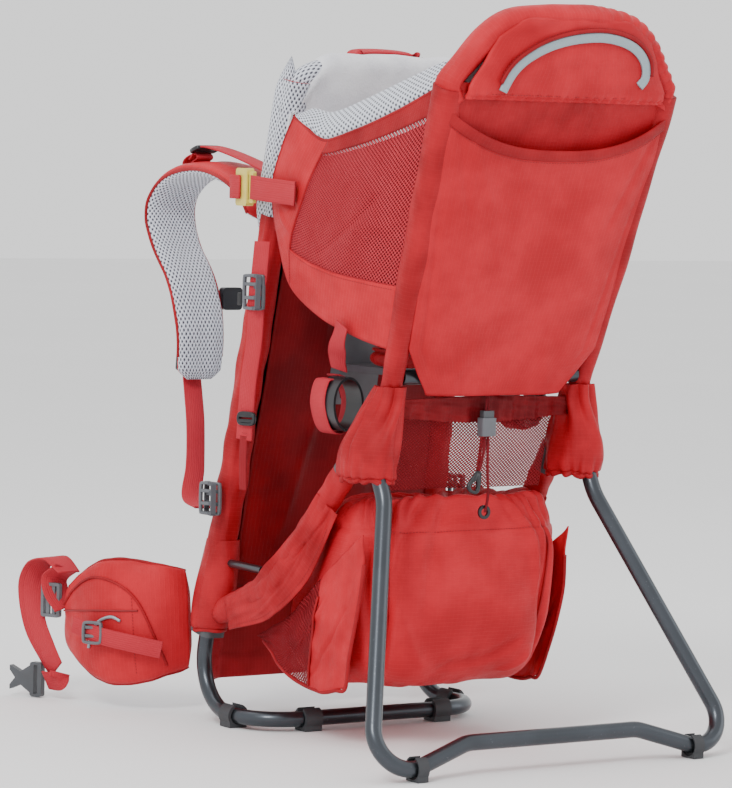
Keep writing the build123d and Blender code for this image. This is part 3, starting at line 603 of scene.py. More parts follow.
def ripstop(name, base, deep, pitch=4.2, roughness=0.5, kind="UV"):
    """Plain-woven nylon with the fine raised grid that stops tears."""
    p = Paint(name, roughness=roughness, specular=0.16)
    x, y, z = p.coords(kind)
    if kind != "UV":
        x, y = x + z * 0.31, y * 0.4 + z
    rib_x = ((x * (math.pi / pitch)).sin().abs()).step(0.955, 1.0)
    rib_y = ((y * (math.pi / pitch)).sin().abs()).step(0.955, 1.0)
    ribs = rib_x * 0.45 + rib_y
    weave = (x * (TAU / 0.9)).sin() * (y * (TAU / 0.9)).sin()
    cloud = p.noise(46, 3).step(0.3, 0.72)
    worn = p.noise(9, 2).step(0.35, 0.75)
    tone = p.mix(cloud, deep, base)
    tone = p.mix(ribs * 0.16, tone, tuple(min(1, c * 1.2 + 0.008) for c in base))
    tone = p.mix(worn * 0.12, tone, deep)
    p.colour(tone)
    p.rough(worn * 0.12 + (roughness - 0.06))
    p.bump(ribs, 0.10).bump(weave, 0.05, 0.6).bump(p.noise(14, 3), 0.9, 0.35)
    return p.mat


def webbing(name, base, deep, width=20.0):
    """Ribbed narrow webbing: cross ribs, a few lengthwise cords and tighter edges."""
    p = Paint(name, roughness=0.66, specular=0.2)
    x, y, _ = p.coords()
    ribs = (y * (TAU / 1.3)).sin()
    cords = (x * (TAU / 2.2)).sin()
    edge = x.abs().step(width / 2 - 1.6, width / 2 - 0.9)
    tone = p.mix(p.noise(22, 2), deep, base)
    tone = p.mix(ribs.step(0.1, 1.0) * 0.25, tone, tuple(min(1, c * 1.2 + 0.012) for c in base))
    tone = p.mix(cords.step(-1.0, -0.7) * 0.5, deep, tone)
    tone = p.mix(edge * 0.35, tone, deep)
    p.colour(tone)
    p.bump(ribs, 0.12).bump(cords, 0.09).bump(edge, 0.2)
    return p.mat


def spacer_mesh(name, base, hole_shade, pitch_x=4.6, pitch_y=7.6, radius=0.19):
    """Thick knitted spacer mesh with rows of oval holes, painted near-black as the shade inside them, and
    with painted shade on their rims.
    """
    p = Paint(name, roughness=0.8, sheen=0.3)
    x, y, _ = p.coords()
    dots = staggered_dots(x, y, pitch_x, pitch_y, radius)
    shaded_holes = dots.step(1.25, 0.75)
    knit = (x * (TAU / 0.8)).sin() * (y * (TAU / 1.1)).sin()
    tone = p.mix(p.noise(30, 3), tuple(c * 0.9 for c in base), base)
    # painted shade: the knit darkens towards each hole, where its surface dips in
    tone = p.mix(dots.step(1.9, 1.1) * 0.25, tone, tuple(c * 0.62 for c in base))
    # painted shade: each hole is filled with the near-black colour of the shade inside it
    tone = p.mix(shaded_holes, tone, hole_shade)
    p.colour(tone)
    p.bump(dots.step(0.7, 1.8), 0.9).bump(knit, 0.06, 0.5)
    return p.mat


def net(name, base, deep, pitch_x, pitch_y, radius):
    """Knitted net: staggered open holes in a stretchy red knit."""
    p = Paint(name, roughness=0.7, specular=0.2)
    x, y, _ = p.coords()
    dots = staggered_dots(x, y, pitch_x, pitch_y, radius)
    tone = p.mix(p.noise(26, 2), deep, base)
    # painted shade: the knit darkens round each hole, where the bump dips towards it
    tone = p.mix(dots.step(1.7, 1.1) * 0.4, tone, deep)
    p.colour(tone)
    p.bump(dots.step(0.8, 1.7), 0.45)
    p.alpha(dots.step(0.86, 1.02))
    return p.mat


def fleece(name, base, deep):
    p = Paint(name, roughness=0.9, sheen=0.6)
    pile = p.noise(1.6, 4)
    tone = p.mix(p.noise(34, 3).step(0.3, 0.7), deep, base)
    tone = p.mix(pile.step(0.35, 0.7) * 0.35, tone, tuple(min(1, c * 1.1) for c in base))
    p.colour(tone)
    p.bump(pile, 0.5).bump(p.noise(7, 2), 1.1, 0.5)
    return p.mat


def tube_metal(name, base, worn):
    p = Paint(name, roughness=0.3, metallic=0.85, specular=0.5, coat=0.15)
    haze = p.noise(60, 4)
    scratch = p.noise(2.2, 6)
    tone = p.mix(haze.step(0.35, 0.7), base, tuple(c * 1.18 for c in base))
    tone = p.mix(scratch.step(0.66, 0.74) * 0.3, tone, worn)
    p.colour(tone)
    p.rough(haze * 0.16 + 0.24)
    p.bump(scratch, 0.02, 0.5)
    return p.mat


def moulded(name, base, roughness=0.42, grain=0.03):
    p = Paint(name, roughness=roughness, specular=0.5)
    fine = p.noise(0.7, 3)
    broad = p.noise(18, 3)
    tone = p.mix(broad.step(0.3, 0.75), tuple(c * 0.82 for c in base), base)
    tone = p.mix(fine.step(0.6, 0.8) * 0.25, tone, tuple(min(1, c * 1.5 + 0.01) for c in base))
    p.colour(tone)
    p.rough(broad * 0.16 + (roughness - 0.08))
    p.bump(fine, grain)
    return p.mat


def reflective(name):
    p = Paint(name, roughness=0.34, metallic=0.35, specular=0.6)
    x, y, _ = p.coords()
    lattice = ((x + y) * (math.pi / 1.1)).sin().abs().smaller(((x - y) * (math.pi / 1.1)).sin().abs())
    tone = p.mix(lattice.step(0.0, 0.35), (0.20, 0.25, 0.28), (0.33, 0.41, 0.45))
    p.colour(tone)
    p.bump(lattice, 0.05)
    return p.mat


def floor_paint(name):
    p = Paint(name, roughness=0.85)
    p.colour(p.mix(p.noise(900, 2), (0.86, 0.86, 0.86), (0.90, 0.90, 0.90)))
    return p.mat


RED = ripstop("red_ripstop", (0.56, 0.017, 0.028), (0.42, 0.009, 0.016))
# A much darker copy of the red ripstop: painted shade for the pieces inside or under others, that is the
# back cover, the panel behind the stash pocket's foot, the cockpit linings and the rear skirt.
RED_INNER_SHADE = ripstop("red_cloth_painted_inner_shade", (0.23, 0.005, 0.009), (0.14, 0.002, 0.005))
# A darker copy of the red ripstop: painted shade for the folded, rolled and gathered pieces, and, in object
# coordinates, for the seat pad.
RED_FOLD_SHADE = ripstop("red_ripstop_painted_fold_shade", (0.44, 0.011, 0.019), (0.27, 0.005, 0.009))
RED_SEAT_SHADE = ripstop("red_seat_cloth_painted_shade", (0.44, 0.011, 0.019), (0.27, 0.005, 0.009), kind="Object")
WEB = webbing("coral_webbing", (0.60, 0.045, 0.068), (0.44, 0.018, 0.030))
WEB_DARK = webbing("dark_red_webbing", (0.38, 0.015, 0.024), (0.24, 0.008, 0.014))
# the near-black second colour is painted shade inside the spacer mesh's holes
SPACER = spacer_mesh("grey_spacer_mesh", (0.70, 0.73, 0.82), (0.045, 0.045, 0.065))
RED_NET = net("red_net", (0.66, 0.060, 0.080), (0.46, 0.024, 0.036), 3.8, 4.8, 0.30)
RED_NET_FINE = net("fine_red_net", (0.34, 0.010, 0.018), (0.20, 0.004, 0.009), 3.4, 4.2, 0.27)
FLEECE = fleece("grey_fleece", (0.74, 0.74, 0.77), (0.60, 0.60, 0.64))
METAL = tube_metal("graphite_tube", (0.055, 0.062, 0.072), (0.28, 0.29, 0.31))
STEEL = tube_metal("pin_steel", (0.45, 0.46, 0.48), (0.6, 0.6, 0.6))
PLASTIC = moulded("dark_grey_plastic", (0.065, 0.07, 0.078))
BLACK = moulded("black_plastic", (0.014, 0.015, 0.018), 0.34)
GREY_PLASTIC = moulded("grey_plastic", (0.12, 0.125, 0.14), 0.4)
RUBBER = moulded("foot_rubber", (0.035, 0.037, 0.042), 0.6, 0.06)
YELLOW = moulded("pale_yellow_plastic", (0.76, 0.62, 0.12), 0.4)
PIPING = reflective("reflective_piping")
THREAD = moulded("red_thread", (0.28, 0.008, 0.012), 0.7)
TRIM = ripstop("red_binding", (0.36, 0.009, 0.015), (0.24, 0.005, 0.009))
CORD = webbing("drawstring", (0.48, 0.03, 0.045), (0.26, 0.012, 0.02), 40)


# ---- shared shapes --------------------------------------------------------------------------
def ladder(name, centre, across, along, width, length, material, rim=3.4, thick=4.6):
    """A ladder-lock adjuster: a rounded rim with two cross bars, as one piece."""
    x_axis = unit(np.asarray(across, float))
    y_axis = np.asarray(along, float)
    y_axis = unit(y_axis - (y_axis @ x_axis) * x_axis)
    z_axis = np.cross(x_axis, y_axis)
    centre = np.asarray(centre, float)

    def place(p):
        return centre + p[..., :1] * x_axis + p[..., 1:2] * y_axis + p[..., 2:3] * z_axis

    w, k, c = width / 2 + rim / 2, length / 2 - rim / 2, 3.0
    corners = [
        (w, k - c), (w - c, k), (-w + c, k), (-w, k - c), (-w, -k + c), (-w + c, -k), (w - c, -k),
        (w, -k + c)
    ]
    ring_path = even([(px, py, 0.0) for px, py in corners], 72, closed=True)
    t = unit(np.roll(ring_path, -1, 0) - np.roll(ring_path, 1, 0))
    s = np.cross(t, [0, 0, 1.0])
    a = np.linspace(0, TAU, 12, endpoint=False)
    ca = np.sign(np.cos(a)) * np.abs(np.cos(a)) ** 0.7
    sa = np.sign(np.sin(a)) * np.abs(np.sin(a)) ** 0.7
    outward = s[:, None] * (ca * rim / 2)[None, :, None]
    upward = np.array([0, 0, 1.0]) * (sa * thick / 2)[None, :, None]
    g = place(ring_path[:, None] + outward + upward)
    frame_ob = mesh_piece(
        name, g.reshape(-1, 3), grid_faces(72, 12, True, True), grid_uv(g).reshape(-1, 2), material
    )
    bars = []
    for k_bar in (-0.16, 0.22):
        bar = np.array([(-w, length * k_bar, 0.6), (0, length * k_bar, 1.2), (w, length * k_bar, 0.6)])
        rings = tube_rings(even(bar, 14), (0, 1, 0), 1.9, 1.3, 12, 2.6)
        bars.append(ring_loft(f"{name}_bar", place(rings), material))
    return merge(name, [frame_ob, *bars])


def flip_ring(g, side):
    """Rings made for the right side, or their mirror image."""
    return g if side > 0 else g * [-1, 1, 1]


def sheet_ring(name, g, material, thick):
    """An open-ended tube of cloth with real thickness."""
    n = grid_normals(g, True)
    nu, nv = g.shape[:2]
    count = nu * nv
    verts = np.concatenate([(g + n * thick / 2).reshape(-1, 3), (g - n * thick / 2).reshape(-1, 3)])
    faces = grid_faces(nu, nv, closed_v=True) + grid_faces(nu, nv, closed_v=True, start=count, flip=True)
    for i in (0, (nu - 1) * nv):
        for j in range(nv):
            p, q = i + j, i + (j + 1) % nv
            faces.append((p, p + count, q + count, q))
    uv = grid_uv(g).reshape(-1, 2)
    return mesh_piece(name, verts, faces, np.concatenate([uv, uv]), material)


def points_m(point):
    """A point in metres."""
    return tuple(c * MM for c in point)


# ---- reference frames, as in the CAD source ---------------------------------------------------
BACK_UP, BACK_OUT = np.array([0, -0.19967, 0.97986]), np.array([0, -0.97986, -0.19967])
REAR_UP, REAR_OUT = np.array([0, -0.3393, 0.9407]), np.array([0, -0.9407, -0.3393])
RISE = 573.6


def back(x, rise, out):
    """Points on the leaning back plane: x across, rise up it and out behind it."""
    x, rise, out = np.broadcast_arrays(x, rise, out)
    foot = np.stack([x, 96.0 + 0 * x, 110.0 + 0 * x], -1)
    return foot + rise[..., None] * BACK_UP + out[..., None] * BACK_OUT


def rear(x, h, out):
    """Points on the rear panel's plane: x across, h up it and out behind it."""
    x, h, out = np.broadcast_arrays(x, h, out)
    foot = np.stack([x, -196.0 + 0 * x, 345.0 + 0 * x], -1)
    return foot + h[..., None] * REAR_UP + out[..., None] * REAR_OUT


def uv_grid(nu, nv):
    return np.meshgrid(np.linspace(0, 1, nu), np.linspace(0, 1, nv), indexing="ij")


# ---- drawstring: the only free cord -------------------------------------------------------
CORD_POINTS = [
    (0.004, -0.1985, 0.236),
    (0.005, -0.2035, 0.251),
    (0.0017, -0.204, 0.277),
    (0.0017, -0.2042, 0.354),
    (-0.0017, -0.2042, 0.354),
    (-0.0017, -0.204, 0.306),
    (-0.006, -0.207, 0.290),
    (-0.011, -0.208, 0.278),
]
cord_curve = bpy.data.curves.new("drawstring", "CURVE")
cord_curve.dimensions = "3D"
cord_curve.bevel_depth = 0.0014
cord_curve.bevel_resolution = 3
cord_curve.resolution_u = 16
cord_curve.use_fill_caps = True
cord_spline = cord_curve.splines.new("NURBS")
cord_spline.points.add(len(CORD_POINTS) - 1)
for point, place in zip(cord_spline.points, CORD_POINTS):
    point.co = (*place, 1)
cord_spline.order_u = 3
cord_spline.use_endpoint_u = True
cord_curve.materials.append(CORD)
cord_ob = bpy.data.objects.new("drawstring", cord_curve)
bpy.context.collection.objects.link(cord_ob)
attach(cord_ob, "carrier")
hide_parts("drawstring_cord")


# ---- rear panel: stash pocket, upper panel, padded edges ------------------------------------
def panel_half(h):
    """Half width of the rear panel at a height up it, with cut lower corners."""
    return np.interp(h, [10, 18, 34, 62, 306, 340], [78, 82, 94, 112, 131, 127])


HEM_SAG, HEM_HEIGHT = 34.0, 306.0
u, v = uv_grid(110, 90)
side_share = 2 * u - 1
hem = HEM_HEIGHT - HEM_SAG * (1 - np.abs(side_share) ** 2.6)
h = 14 + (hem - 14) * v
fill = (1 - np.abs(side_share) ** 5) * (0.35 + 0.65 * smoothstep(v * 1.5))
out = 12 + 9.5 * fill + 2.0 * ridge(v - 1, 0.05) * (1 - side_share**2)
pocket_grid = rear(side_share * panel_half(h), h, out)
pocket_folds = crease(
    pocket_grid,
    [
        (0.05, 0.98, 0.16, 0.70, 0.018, -1.6),
        (0.10, 0.99, 0.26, 0.76, 0.022, 1.2),
        (0.96, 0.98, 0.84, 0.66, 0.02, -1.5),
        (0.03, 0.72, 0.07, 0.10, 0.012, -1.8),
        (0.97, 0.80, 0.93, 0.15, 0.012, -1.4),
        (0.18, 0.04, 0.34, 0.20, 0.02, 0.9),
        (0.84, 0.04, 0.70, 0.18, 0.02, 0.9),
    ],
) + waves(u, v, 3, 7, 1.2, 3.4, 0.5)
pocket = sheet("stash_pocket_front", pocket_grid, RED, 1.6, bump=pocket_folds)
put(pocket, "carrier", "stash_pocket", flat=True)

hem_points = pocket_grid[:, -1] + REAR_OUT * 0.8
hem_band = ribbon("stash_pocket_hem", hem_points[::6] - REAR_UP * 4.5, REAR_UP, 11, TRIM, 2.6, 120)
put(hem_band, "carrier")
for name, drop in (("upper", 2.0), ("lower", 11.5)):
    row = stitch_row(f"stash_hem_stitches_{name}", hem_points[::6] - REAR_UP * drop, THREAD, REAR_OUT * 1.0)
    put(row, "carrier")

u, v = uv_grid(80, 40)
side_share = 2 * u - 1
h = 196 + (334 - 196) * v
puckers = 0.9 * np.sin(side_share * 58) * ridge(v - 0.93, 0.06) + waves(u, v, 11, 6, 1.5, 4, 0.7)
upper_grid = rear(side_share * (panel_half(h) - 5), h, 9.6 + 5.5 * ridge(v - 1, 0.35) * (1 - side_share**2))
upper = sheet("rear_upper_panel", upper_grid, RED_FOLD_SHADE, 1.6, bump=puckers)
put(upper, "carrier", flat=True)

u, v = uv_grid(60, 24)
side_share = 2 * u - 1
h = 12 + 60 * v
lower_grid = rear(side_share * (panel_half(h) - 3), h, 9.6 + 0 * u)
lower = sheet("rear_lower_panel", lower_grid, RED_INNER_SHADE, 1.4, bump=waves(u, v, 12, 5, 1, 3, 0.5))
put(lower, "carrier", flat=True)

ROLL_STATIONS = [(2, 9.5, 10), (50, 10.5, 11.5), (150, 12.5, 13.5), (240, 13.5, 14.5), (326, 13.5, 14.5)]
for name, side in SIDES.items():
    stations = resample(np.array(ROLL_STATIONS, float), 90)
    tube_x = 112 + 15 * stations[:, 0] / 324
    path = flip(rear(-tube_x - 1, stations[:, 0], -0.5), side)
    g = tube_rings(path, (1, 0, 0), stations[:, 1], stations[:, 2], 40, 2.2)
    n = grid_normals(g, True)
    u, v = param(g)
    turns = v * TAU
    g = g - n * (0.35 * np.sin(u * 30 + 1.4 * np.sin(turns)) + waves(u, v, 21, 6, 1, 4, 0.6))[..., None]
    roll = ring_loft(f"panel_edge_{name}", g, RED_FOLD_SHADE)
    put(roll, "carrier", fill=0.7)

# ---- head rest -------------------------------------------------------------------------------
ARCH = np.array(
    [(-121, -302, 640), (-127, -306, 655), (-112, -311, 676), (-92, -317, 700), (-66, -321, 713)], float
)
arch_path = np.concatenate([ARCH, [(-30, -322, 717), (30, -322, 717)], ARCH[::-1] * [-1, 1, 1]])
path = even(arch_path, 150)
t = np.linspace(0, 1, 150)
lump = smoothstep((t - 0.52) / 0.2)
dome = np.sin(np.pi * t) ** 2
g = tube_rings(path, (0, -1, 0), 15.0 + 4.0 * dome, 10.5 + 5.5 * dome, 44, 2.1)
away = unit(g - path[:, None])
u, v = param(g)
gathers = 0.9 * lump[:, None] * np.sin(u * 190 + 1.2 * np.sin(v * TAU * 2)) + waves(u, v, 31, 7, 2, 8, 0.6)
hood = ring_loft("head_rest_cover", g + away * gathers[..., None], RED)
put(hood, "carrier", "head_rest_cover", fill=0.75)

u, v = uv_grid(90, 60)
side_share = 2 * u - 1
z = 640 + (719 - 640) * v
reach = np.interp(z, [640, 652, 700, 716, 719], [117, 116, 90, 66, 56])
face = np.stack([side_share * reach, -306.5 - 0.235 * (z - 640), z], -1)
face_bump = 3.5 * np.sin(np.pi * u) * np.sin(np.pi * np.clip(v * 1.1, 0, 1))
face_bump += 1.3 * np.sin(side_share * 64) * ridge(v - 0.04, 0.05) + waves(u, v, 33, 6, 1.5, 5, 0.6)
face_bump -= 2.2 * ridge(v - 0.03, 0.02)
face_grid = face + np.array([0, -14.0, 0])
head_face = sheet("head_rest_face", face_grid, RED, 2.0, crown=4.0, edge=0.2, bump=face_bump)
head_grid = np.array(
    [v.co for v in head_face.data.vertices][: face_grid.shape[0] * face_grid.shape[1]]
) * 1000
put(head_face, "carrier", fill=0.6)
inner_grid = (face + np.array([0, 7.0, 0]))[::-1]
head_inner = sheet("head_rest_lining", inner_grid, FLEECE, 3.0, crown=7.0, edge=0.25)
put(head_inner, "carrier", "head_rest_pad", slot="lining", fill=0.7)

ARC = [
    (-81, 648), (-74, 664), (-61, 678), (-40, 690), (-8, 699), (28, 702), (60, 696), (80, 682), (85, 664),
    (70, 650)
]


def on_face(points, lift):
    """Points (x, z) laid on the head rest's outer face."""
    outer = head_grid.reshape(-1, 3)
    path = []
    for x, z in resample(points, 60):
        near = np.argsort((outer[:, 0] - x) ** 2 + (outer[:, 2] - z) ** 2)[:4]
        path.append((x, outer[near, 1].mean() - lift, z))
    return resample(path[::4], 60)


arc_path = np.array(even(on_face(ARC, 1.6), 140))
middle = np.array([0, -330.0, 650.0])
across = unit(middle - arc_path)
tangent = unit(np.gradient(arc_path, axis=0))
across = unit(across - (across * tangent).sum(1, keepdims=True) * tangent)
piping = ribbon("reflective_piping", arc_path[::6], across[::6], 9.5, PIPING, 3.0, 140)
put(piping, "carrier")
outer_arc = arc_path - across * 6.8 + np.array([0, -0.8, 0])
put(cord_line("head_rest_piping_ridge", outer_arc[4:-8:6], 2.0, TRIM), "carrier")
put(stitch_row("head_rest_stitches", (arc_path - across * 9.4)[4:-8:6], THREAD, (0, -0.4, 0)), "carrier")
seam = on_face([(x, 645.0) for x in (-92, -60, -30, 0, 30, 60, 92)], 0.6)
put(stitch_row("head_rest_seam_stitches", seam[::6], THREAD), "carrier")

# ---- cockpit sides ---------------------------------------------------------------------------
LOW_EDGE = [(-18, 508), (-36, 470), (-60, 446), (-105, 424), (-160, 408), (-212, 396)]
HIGH_EDGE = [(-55, 622), (-83, 610), (-112, 599), (-165, 610), (-222, 626), (-296, 652)]
FRONT_EDGE = [(-18, 508), (-21, 552), (-35, 590), (-55, 622)]
BACK_EDGE = [(-212, 396), (-242, 480), (-272, 570), (-296, 652)]


def flat_points(points):
    return [(0.0, y, z) for y, z in points]


def side_patch(low, high, front, rear_end, nu, nv):
    """A grid between four lines of a side view; an end left out is a straight line."""
    ends = front or [low[0], high[0]], rear_end or [low[-1], high[-1]]
    return coons(*(flat_points(e) for e in (low, high, *ends)), nu, nv)


cockpit = side_patch(LOW_EDGE, HIGH_EDGE, FRONT_EDGE, BACK_EDGE, 97, 73)
u, v = param(cockpit)
cockpit[..., 0] = -(145.5 - 0.06 * np.abs(cockpit[..., 1]))
belly = 6 * np.sin(np.pi * u) * np.sin(np.pi * v)
cockpit[..., 0] += 6 * (1 - u) ** 6 + 8 * (1 - v) ** 5 + 9 * u**5 * (1 - v) - belly
folds = crease(
    cockpit,
    [
        (0.10, 0.42, 0.24, 0.52, 0.02, -2.0),
        (0.12, 0.34, 0.26, 0.36, 0.02, 1.6),
        (0.30, 0.10, 0.48, 0.30, 0.03, 1.4),
        (0.45, 0.30, 0.75, 0.62, 0.018, -1.6),
        (0.40, 0.44, 0.95, 0.50, 0.02, 1.2),
    ],
) + waves(u, v, 41, 6, 1, 3.5, 0.8)
cockpit = cockpit + grid_normals(cockpit) * folds[..., None]
NET_U, NET_LOW, NET_HIGH = 26, 18, 65
for name, side in SIDES.items():
    n = grid_normals(cockpit)
    parts = {
        "front": (cockpit[: NET_U + 1, :], RED),
        "low": (cockpit[NET_U:, : NET_LOW + 1], RED),
        "high": (cockpit[NET_U:, NET_HIGH:], TRIM),
    }
    made = []
    for part, (cut, cloth) in parts.items():
        made.append(sheet(f"cockpit_{part}_{name}", on_side(cut, side), cloth, 2.0))
    area = sum(flats[o.name][2] for o in made)
    joined = merge(f"cockpit_side_{name}", made)
    flats[joined.name] = (*flat_size(cockpit)[:2], area)
    put(joined, "carrier", *once(side, "cockpit_sides"), flat=True)
    net_grid = on_side((cockpit - n * 0.9)[NET_U - 2 :, NET_LOW - 2 : NET_HIGH + 3], side)
    window = sheet(f"cockpit_net_{name}", net_grid, RED_NET, 0.8)
    put(window, "carrier", slot="pocket_mesh", flat=True)
    # The lining behind the net window is cut from the darker painted-shade red.
    lined = on_side((cockpit + np.array([7.0, 0, 0]))[NET_U - 6 :, 6:NET_HIGH], side)
    lining = sheet(f"cockpit_lining_{name}", lined, RED_INNER_SHADE, 1.4)
    put(lining, "carrier", slot="lining", flat=True)
    edge = flip((cockpit - n * -1.2)[NET_U, 2:-2:8], side)
    put(stitch_row(f"cockpit_seam_{name}", edge, THREAD), "carrier")
    low_seam = flip((cockpit - n * -1.2)[NET_U:-4:8, NET_LOW - 1], side)
    put(stitch_row(f"cockpit_low_seam_{name}", low_seam, THREAD), "carrier")
    welt = np.concatenate([cockpit[0, ::8], cockpit[::8, -1]])
    put(cord_line(f"cockpit_welt_{name}", flip(welt, side), 1.7, TRIM, count=220), "carrier")

COLLAR_HIGH = [(-50, 624), (-74, 628), (-104, 626), (-152, 638), (-212, 656), (-280, 676)]
collar = side_patch(HIGH_EDGE, COLLAR_HIGH, None, None, 110, 26)
u, v = param(collar)
collar[..., 0] = -(144.0 - 0.06 * np.abs(collar[..., 1])) + 15 * v**1.5 + 4
for name, side in SIDES.items():
    band = sheet(
        f"cockpit_collar_{name}", on_side(collar, side), SPACER, 4.0, crown=6.0, edge=0.5, inner=1.6,
        power=0.6
    )
    put(band, "carrier", *once(side, "rim_pads"), slot="spacer_mesh", fill=0.7)

# ---- back panel -------------------------------------------------------------------------------
def frame_half(rise):
    """Half width at the outside of the back frame, with its round upper corners."""
    straight = 130 - 0.037 * rise
    corner = np.clip((rise - 513.6) / 60, 0, 1)
    return straight - 60 * (1 - np.sqrt(np.clip(1 - corner**2, 0, 1)))


u, v = uv_grid(70, 110)
side_share = 2 * u - 1
rise = 30 + (556 - 30) * v
cover_grid = back(side_share * (frame_half(rise) - 14), rise, 8.5 + 3 * np.sin(np.pi * u))
cover_folds = crease(
    cover_grid,
    [(0.2, 0.1, 0.35, 0.4, 0.02, 2), (0.7, 0.15, 0.6, 0.5, 0.02, -2), (0.3, 0.5, 0.3, 0.9, 0.015, 2)]
)
cover = sheet("back_cover", cover_grid, RED_INNER_SHADE, 2.0, bump=cover_folds + waves(u, v, 51, 6, 1, 4, 1.0))
put(cover, "carrier", "back_cover", flat=True)

FLEECE_PROFILE = [
    (436, 15), (470, 16), (520, 15.5), (562, 14.5), (580, 11), (587.5, 0), (582, -11), (566, -15),
    (548, -14)
]
profile = even(np.array(FLEECE_PROFILE, float), 90)
u, v = uv_grid(90, 90)
side_share = 2 * u - 1
rise = np.broadcast_to(profile[:, 0], u.shape)
out = np.broadcast_to(profile[:, 1], u.shape)
half = np.interp(rise, [430, 500, 540, 562, 588], [124, 123, 121, 118, 112])
drop = 58 * np.clip(np.abs(side_share) - 0.62, 0, 1) ** 2 / 0.38**2 * smoothstep((rise - 520) / 60)
top_grid = back(side_share * half, rise - drop * 0.75, out)
fleece_folds = waves(u, v, 53, 7, 1.0, 4.5, 1.1)
fleece_folds = fleece_folds + 1.8 * np.sin(side_share * 9) * smoothstep(v * 3) * (1 - v)
top_fleece = sheet("back_fleece", top_grid, FLEECE, 3.0, bump=fleece_folds)
put(top_fleece, "carrier", slot="lining", flat=True, held="draped")

for name, side in SIDES.items():
    rise = even([[28.0], [560.0]], 120)[:, 0]
    x = -(130 - 0.037 * rise)
    path = flip(back(x - 0.5, rise, 1.5), side)
    width = 14.0 + 1.5 * np.sin(rise / 90)
    g = tube_rings(path, (1, 0, 0), 13.5, width, 36, 2.3)
    u, v = param(g)
    away = unit(g - path[:, None])
    pulls = waves(u, v, 61, 8, 2, 10, 0.8)
    pulls = pulls + 0.8 * np.sin(u * 70 + np.sin(v * TAU) * 2) * ridge(u - 0.35, 0.25)
    g = g + away * pulls[..., None]
    sleeve = ring_loft(f"upright_sleeve_{name}", g, RED_FOLD_SHADE)
    paint_faces(sleeve, SPACER, lambda i: 36 * 88 <= i < 36 * 119)
    put(sleeve, "carrier", *once(side, "frame_sleeves"), fill=0.5)
top_points = back(
    np.array([-113.0, -108, -92, -60, 0, 60, 92, 108, 113]),
    np.array([528.0, 552, 567, 572.5, 573.6, 572.5, 567, 552, 528]), 0.0
)
top_roll = tube_rings(even(top_points, 110), (0, 1, 0), 12.5, 12.5, 30, 2.1)
put(ring_loft("top_bar_sleeve", top_roll, SPACER), "carrier", slot="spacer_mesh", fill=0.6)

PAD_EDGE = [(46, 121), (120, 123), (300, 119), (500, 114), (548, 109), (580, 90)]
for name, side in SIDES.items():
    u, v = uv_grid(46, 120)
    outer_half = np.interp(48 + 540 * v, *zip(*PAD_EDGE))
    round_top = 46 * np.clip((0.55 - u) / 0.55, 0, 1) ** 2
    rise = 48 + (586 - 48 - round_top) * v
    x = -(outer_half + 2) + (outer_half + 2 - 17) * u
    pad_grid = back(x, rise, -14.5 + 0 * u)[::-1]
    channels = -3.2 * sum(ridge(v - k, 0.008) for k in (0.2, 0.4, 0.6, 0.8))
    pad_ob = sheet(
        f"back_pad_{name}", on_side(pad_grid, side), SPACER, 3.0, crown=14.0, edge=0.16, power=0.55,
        bump=channels
    )
    put(pad_ob, "carrier", *once(side, "back_pads"), slot="spacer_mesh", fill=0.7)
    rise = even([[395.0], [585.0]], 60)[:, 0]
    column = flip(back(-(137 - 0.037 * rise) + 2, rise - 2, -9.0), side)
    ends = np.sin(np.clip(np.linspace(0.04, 7, 60), 0, np.pi / 2)) * np.sin(
        np.clip(np.linspace(7, 0.04, 60), 0, np.pi / 2)
    )
    g = tube_rings(column, (1, 0, 0), 9.5 * ends, 14.0 * ends, 30, 2.2)
    put(ring_loft(f"back_pad_edge_{name}", g, SPACER), "carrier", slot="spacer_mesh", fill=0.6)


# ---- shoulder harness -------------------------------------------------------------------------
def strap_pad(name, points, widths, thicks, hint, outside, inside, inner_low, count=150, around=40):
    """A padded strap whose skin changes from one cloth to another at its edges."""
    path = even(points, count)
    w = resample(np.asarray(widths, float)[:, None], count)[:, 0]
    k = resample(np.asarray(thicks, float)[:, None], count)[:, 0]
    ends = np.minimum(1, np.minimum(np.arange(count), np.arange(count)[::-1]) / 5 + 0.35)
    g = tube_rings(path, hint, w / 2 * ends**0.5, k / 2 * ends, around, 2.7)
    u, v = param(g)
    away = unit(g - path[:, None])
    channel = 1.3 * ridge(((v * 2) % 1.0) - 0.5, 0.09)
    g = g - away * (channel + waves(u, v, len(name), 6, 2, 9, 0.5))[..., None]
    ob = ring_loft(name, g, outside)
    half = around // 2
    paint_faces(ob, inside, lambda i: i < (count - 1) * around and ((i % around < half) == inner_low))
    return ob, g


STRAP_LINE = [
    (54, 517, 70, 13),
    (76, 543, 68, 15),
    (126, 562, 64, 17),
    (182, 567, 60, 18),
    (238, 556, 58, 18),
    (268, 526, 58, 18),
    (256, 488, 58, 18),
    (222, 448, 58, 17),
    (203, 400, 56, 16),
    (203, 345, 50, 13),
]
STRAP_X = 84


def strap_points(stations, side):
    """Points of a side view (y, z, ...), in the plane through the middle of a shoulder strap."""
    return [(side * STRAP_X, station[0], station[1]) for station in stations]


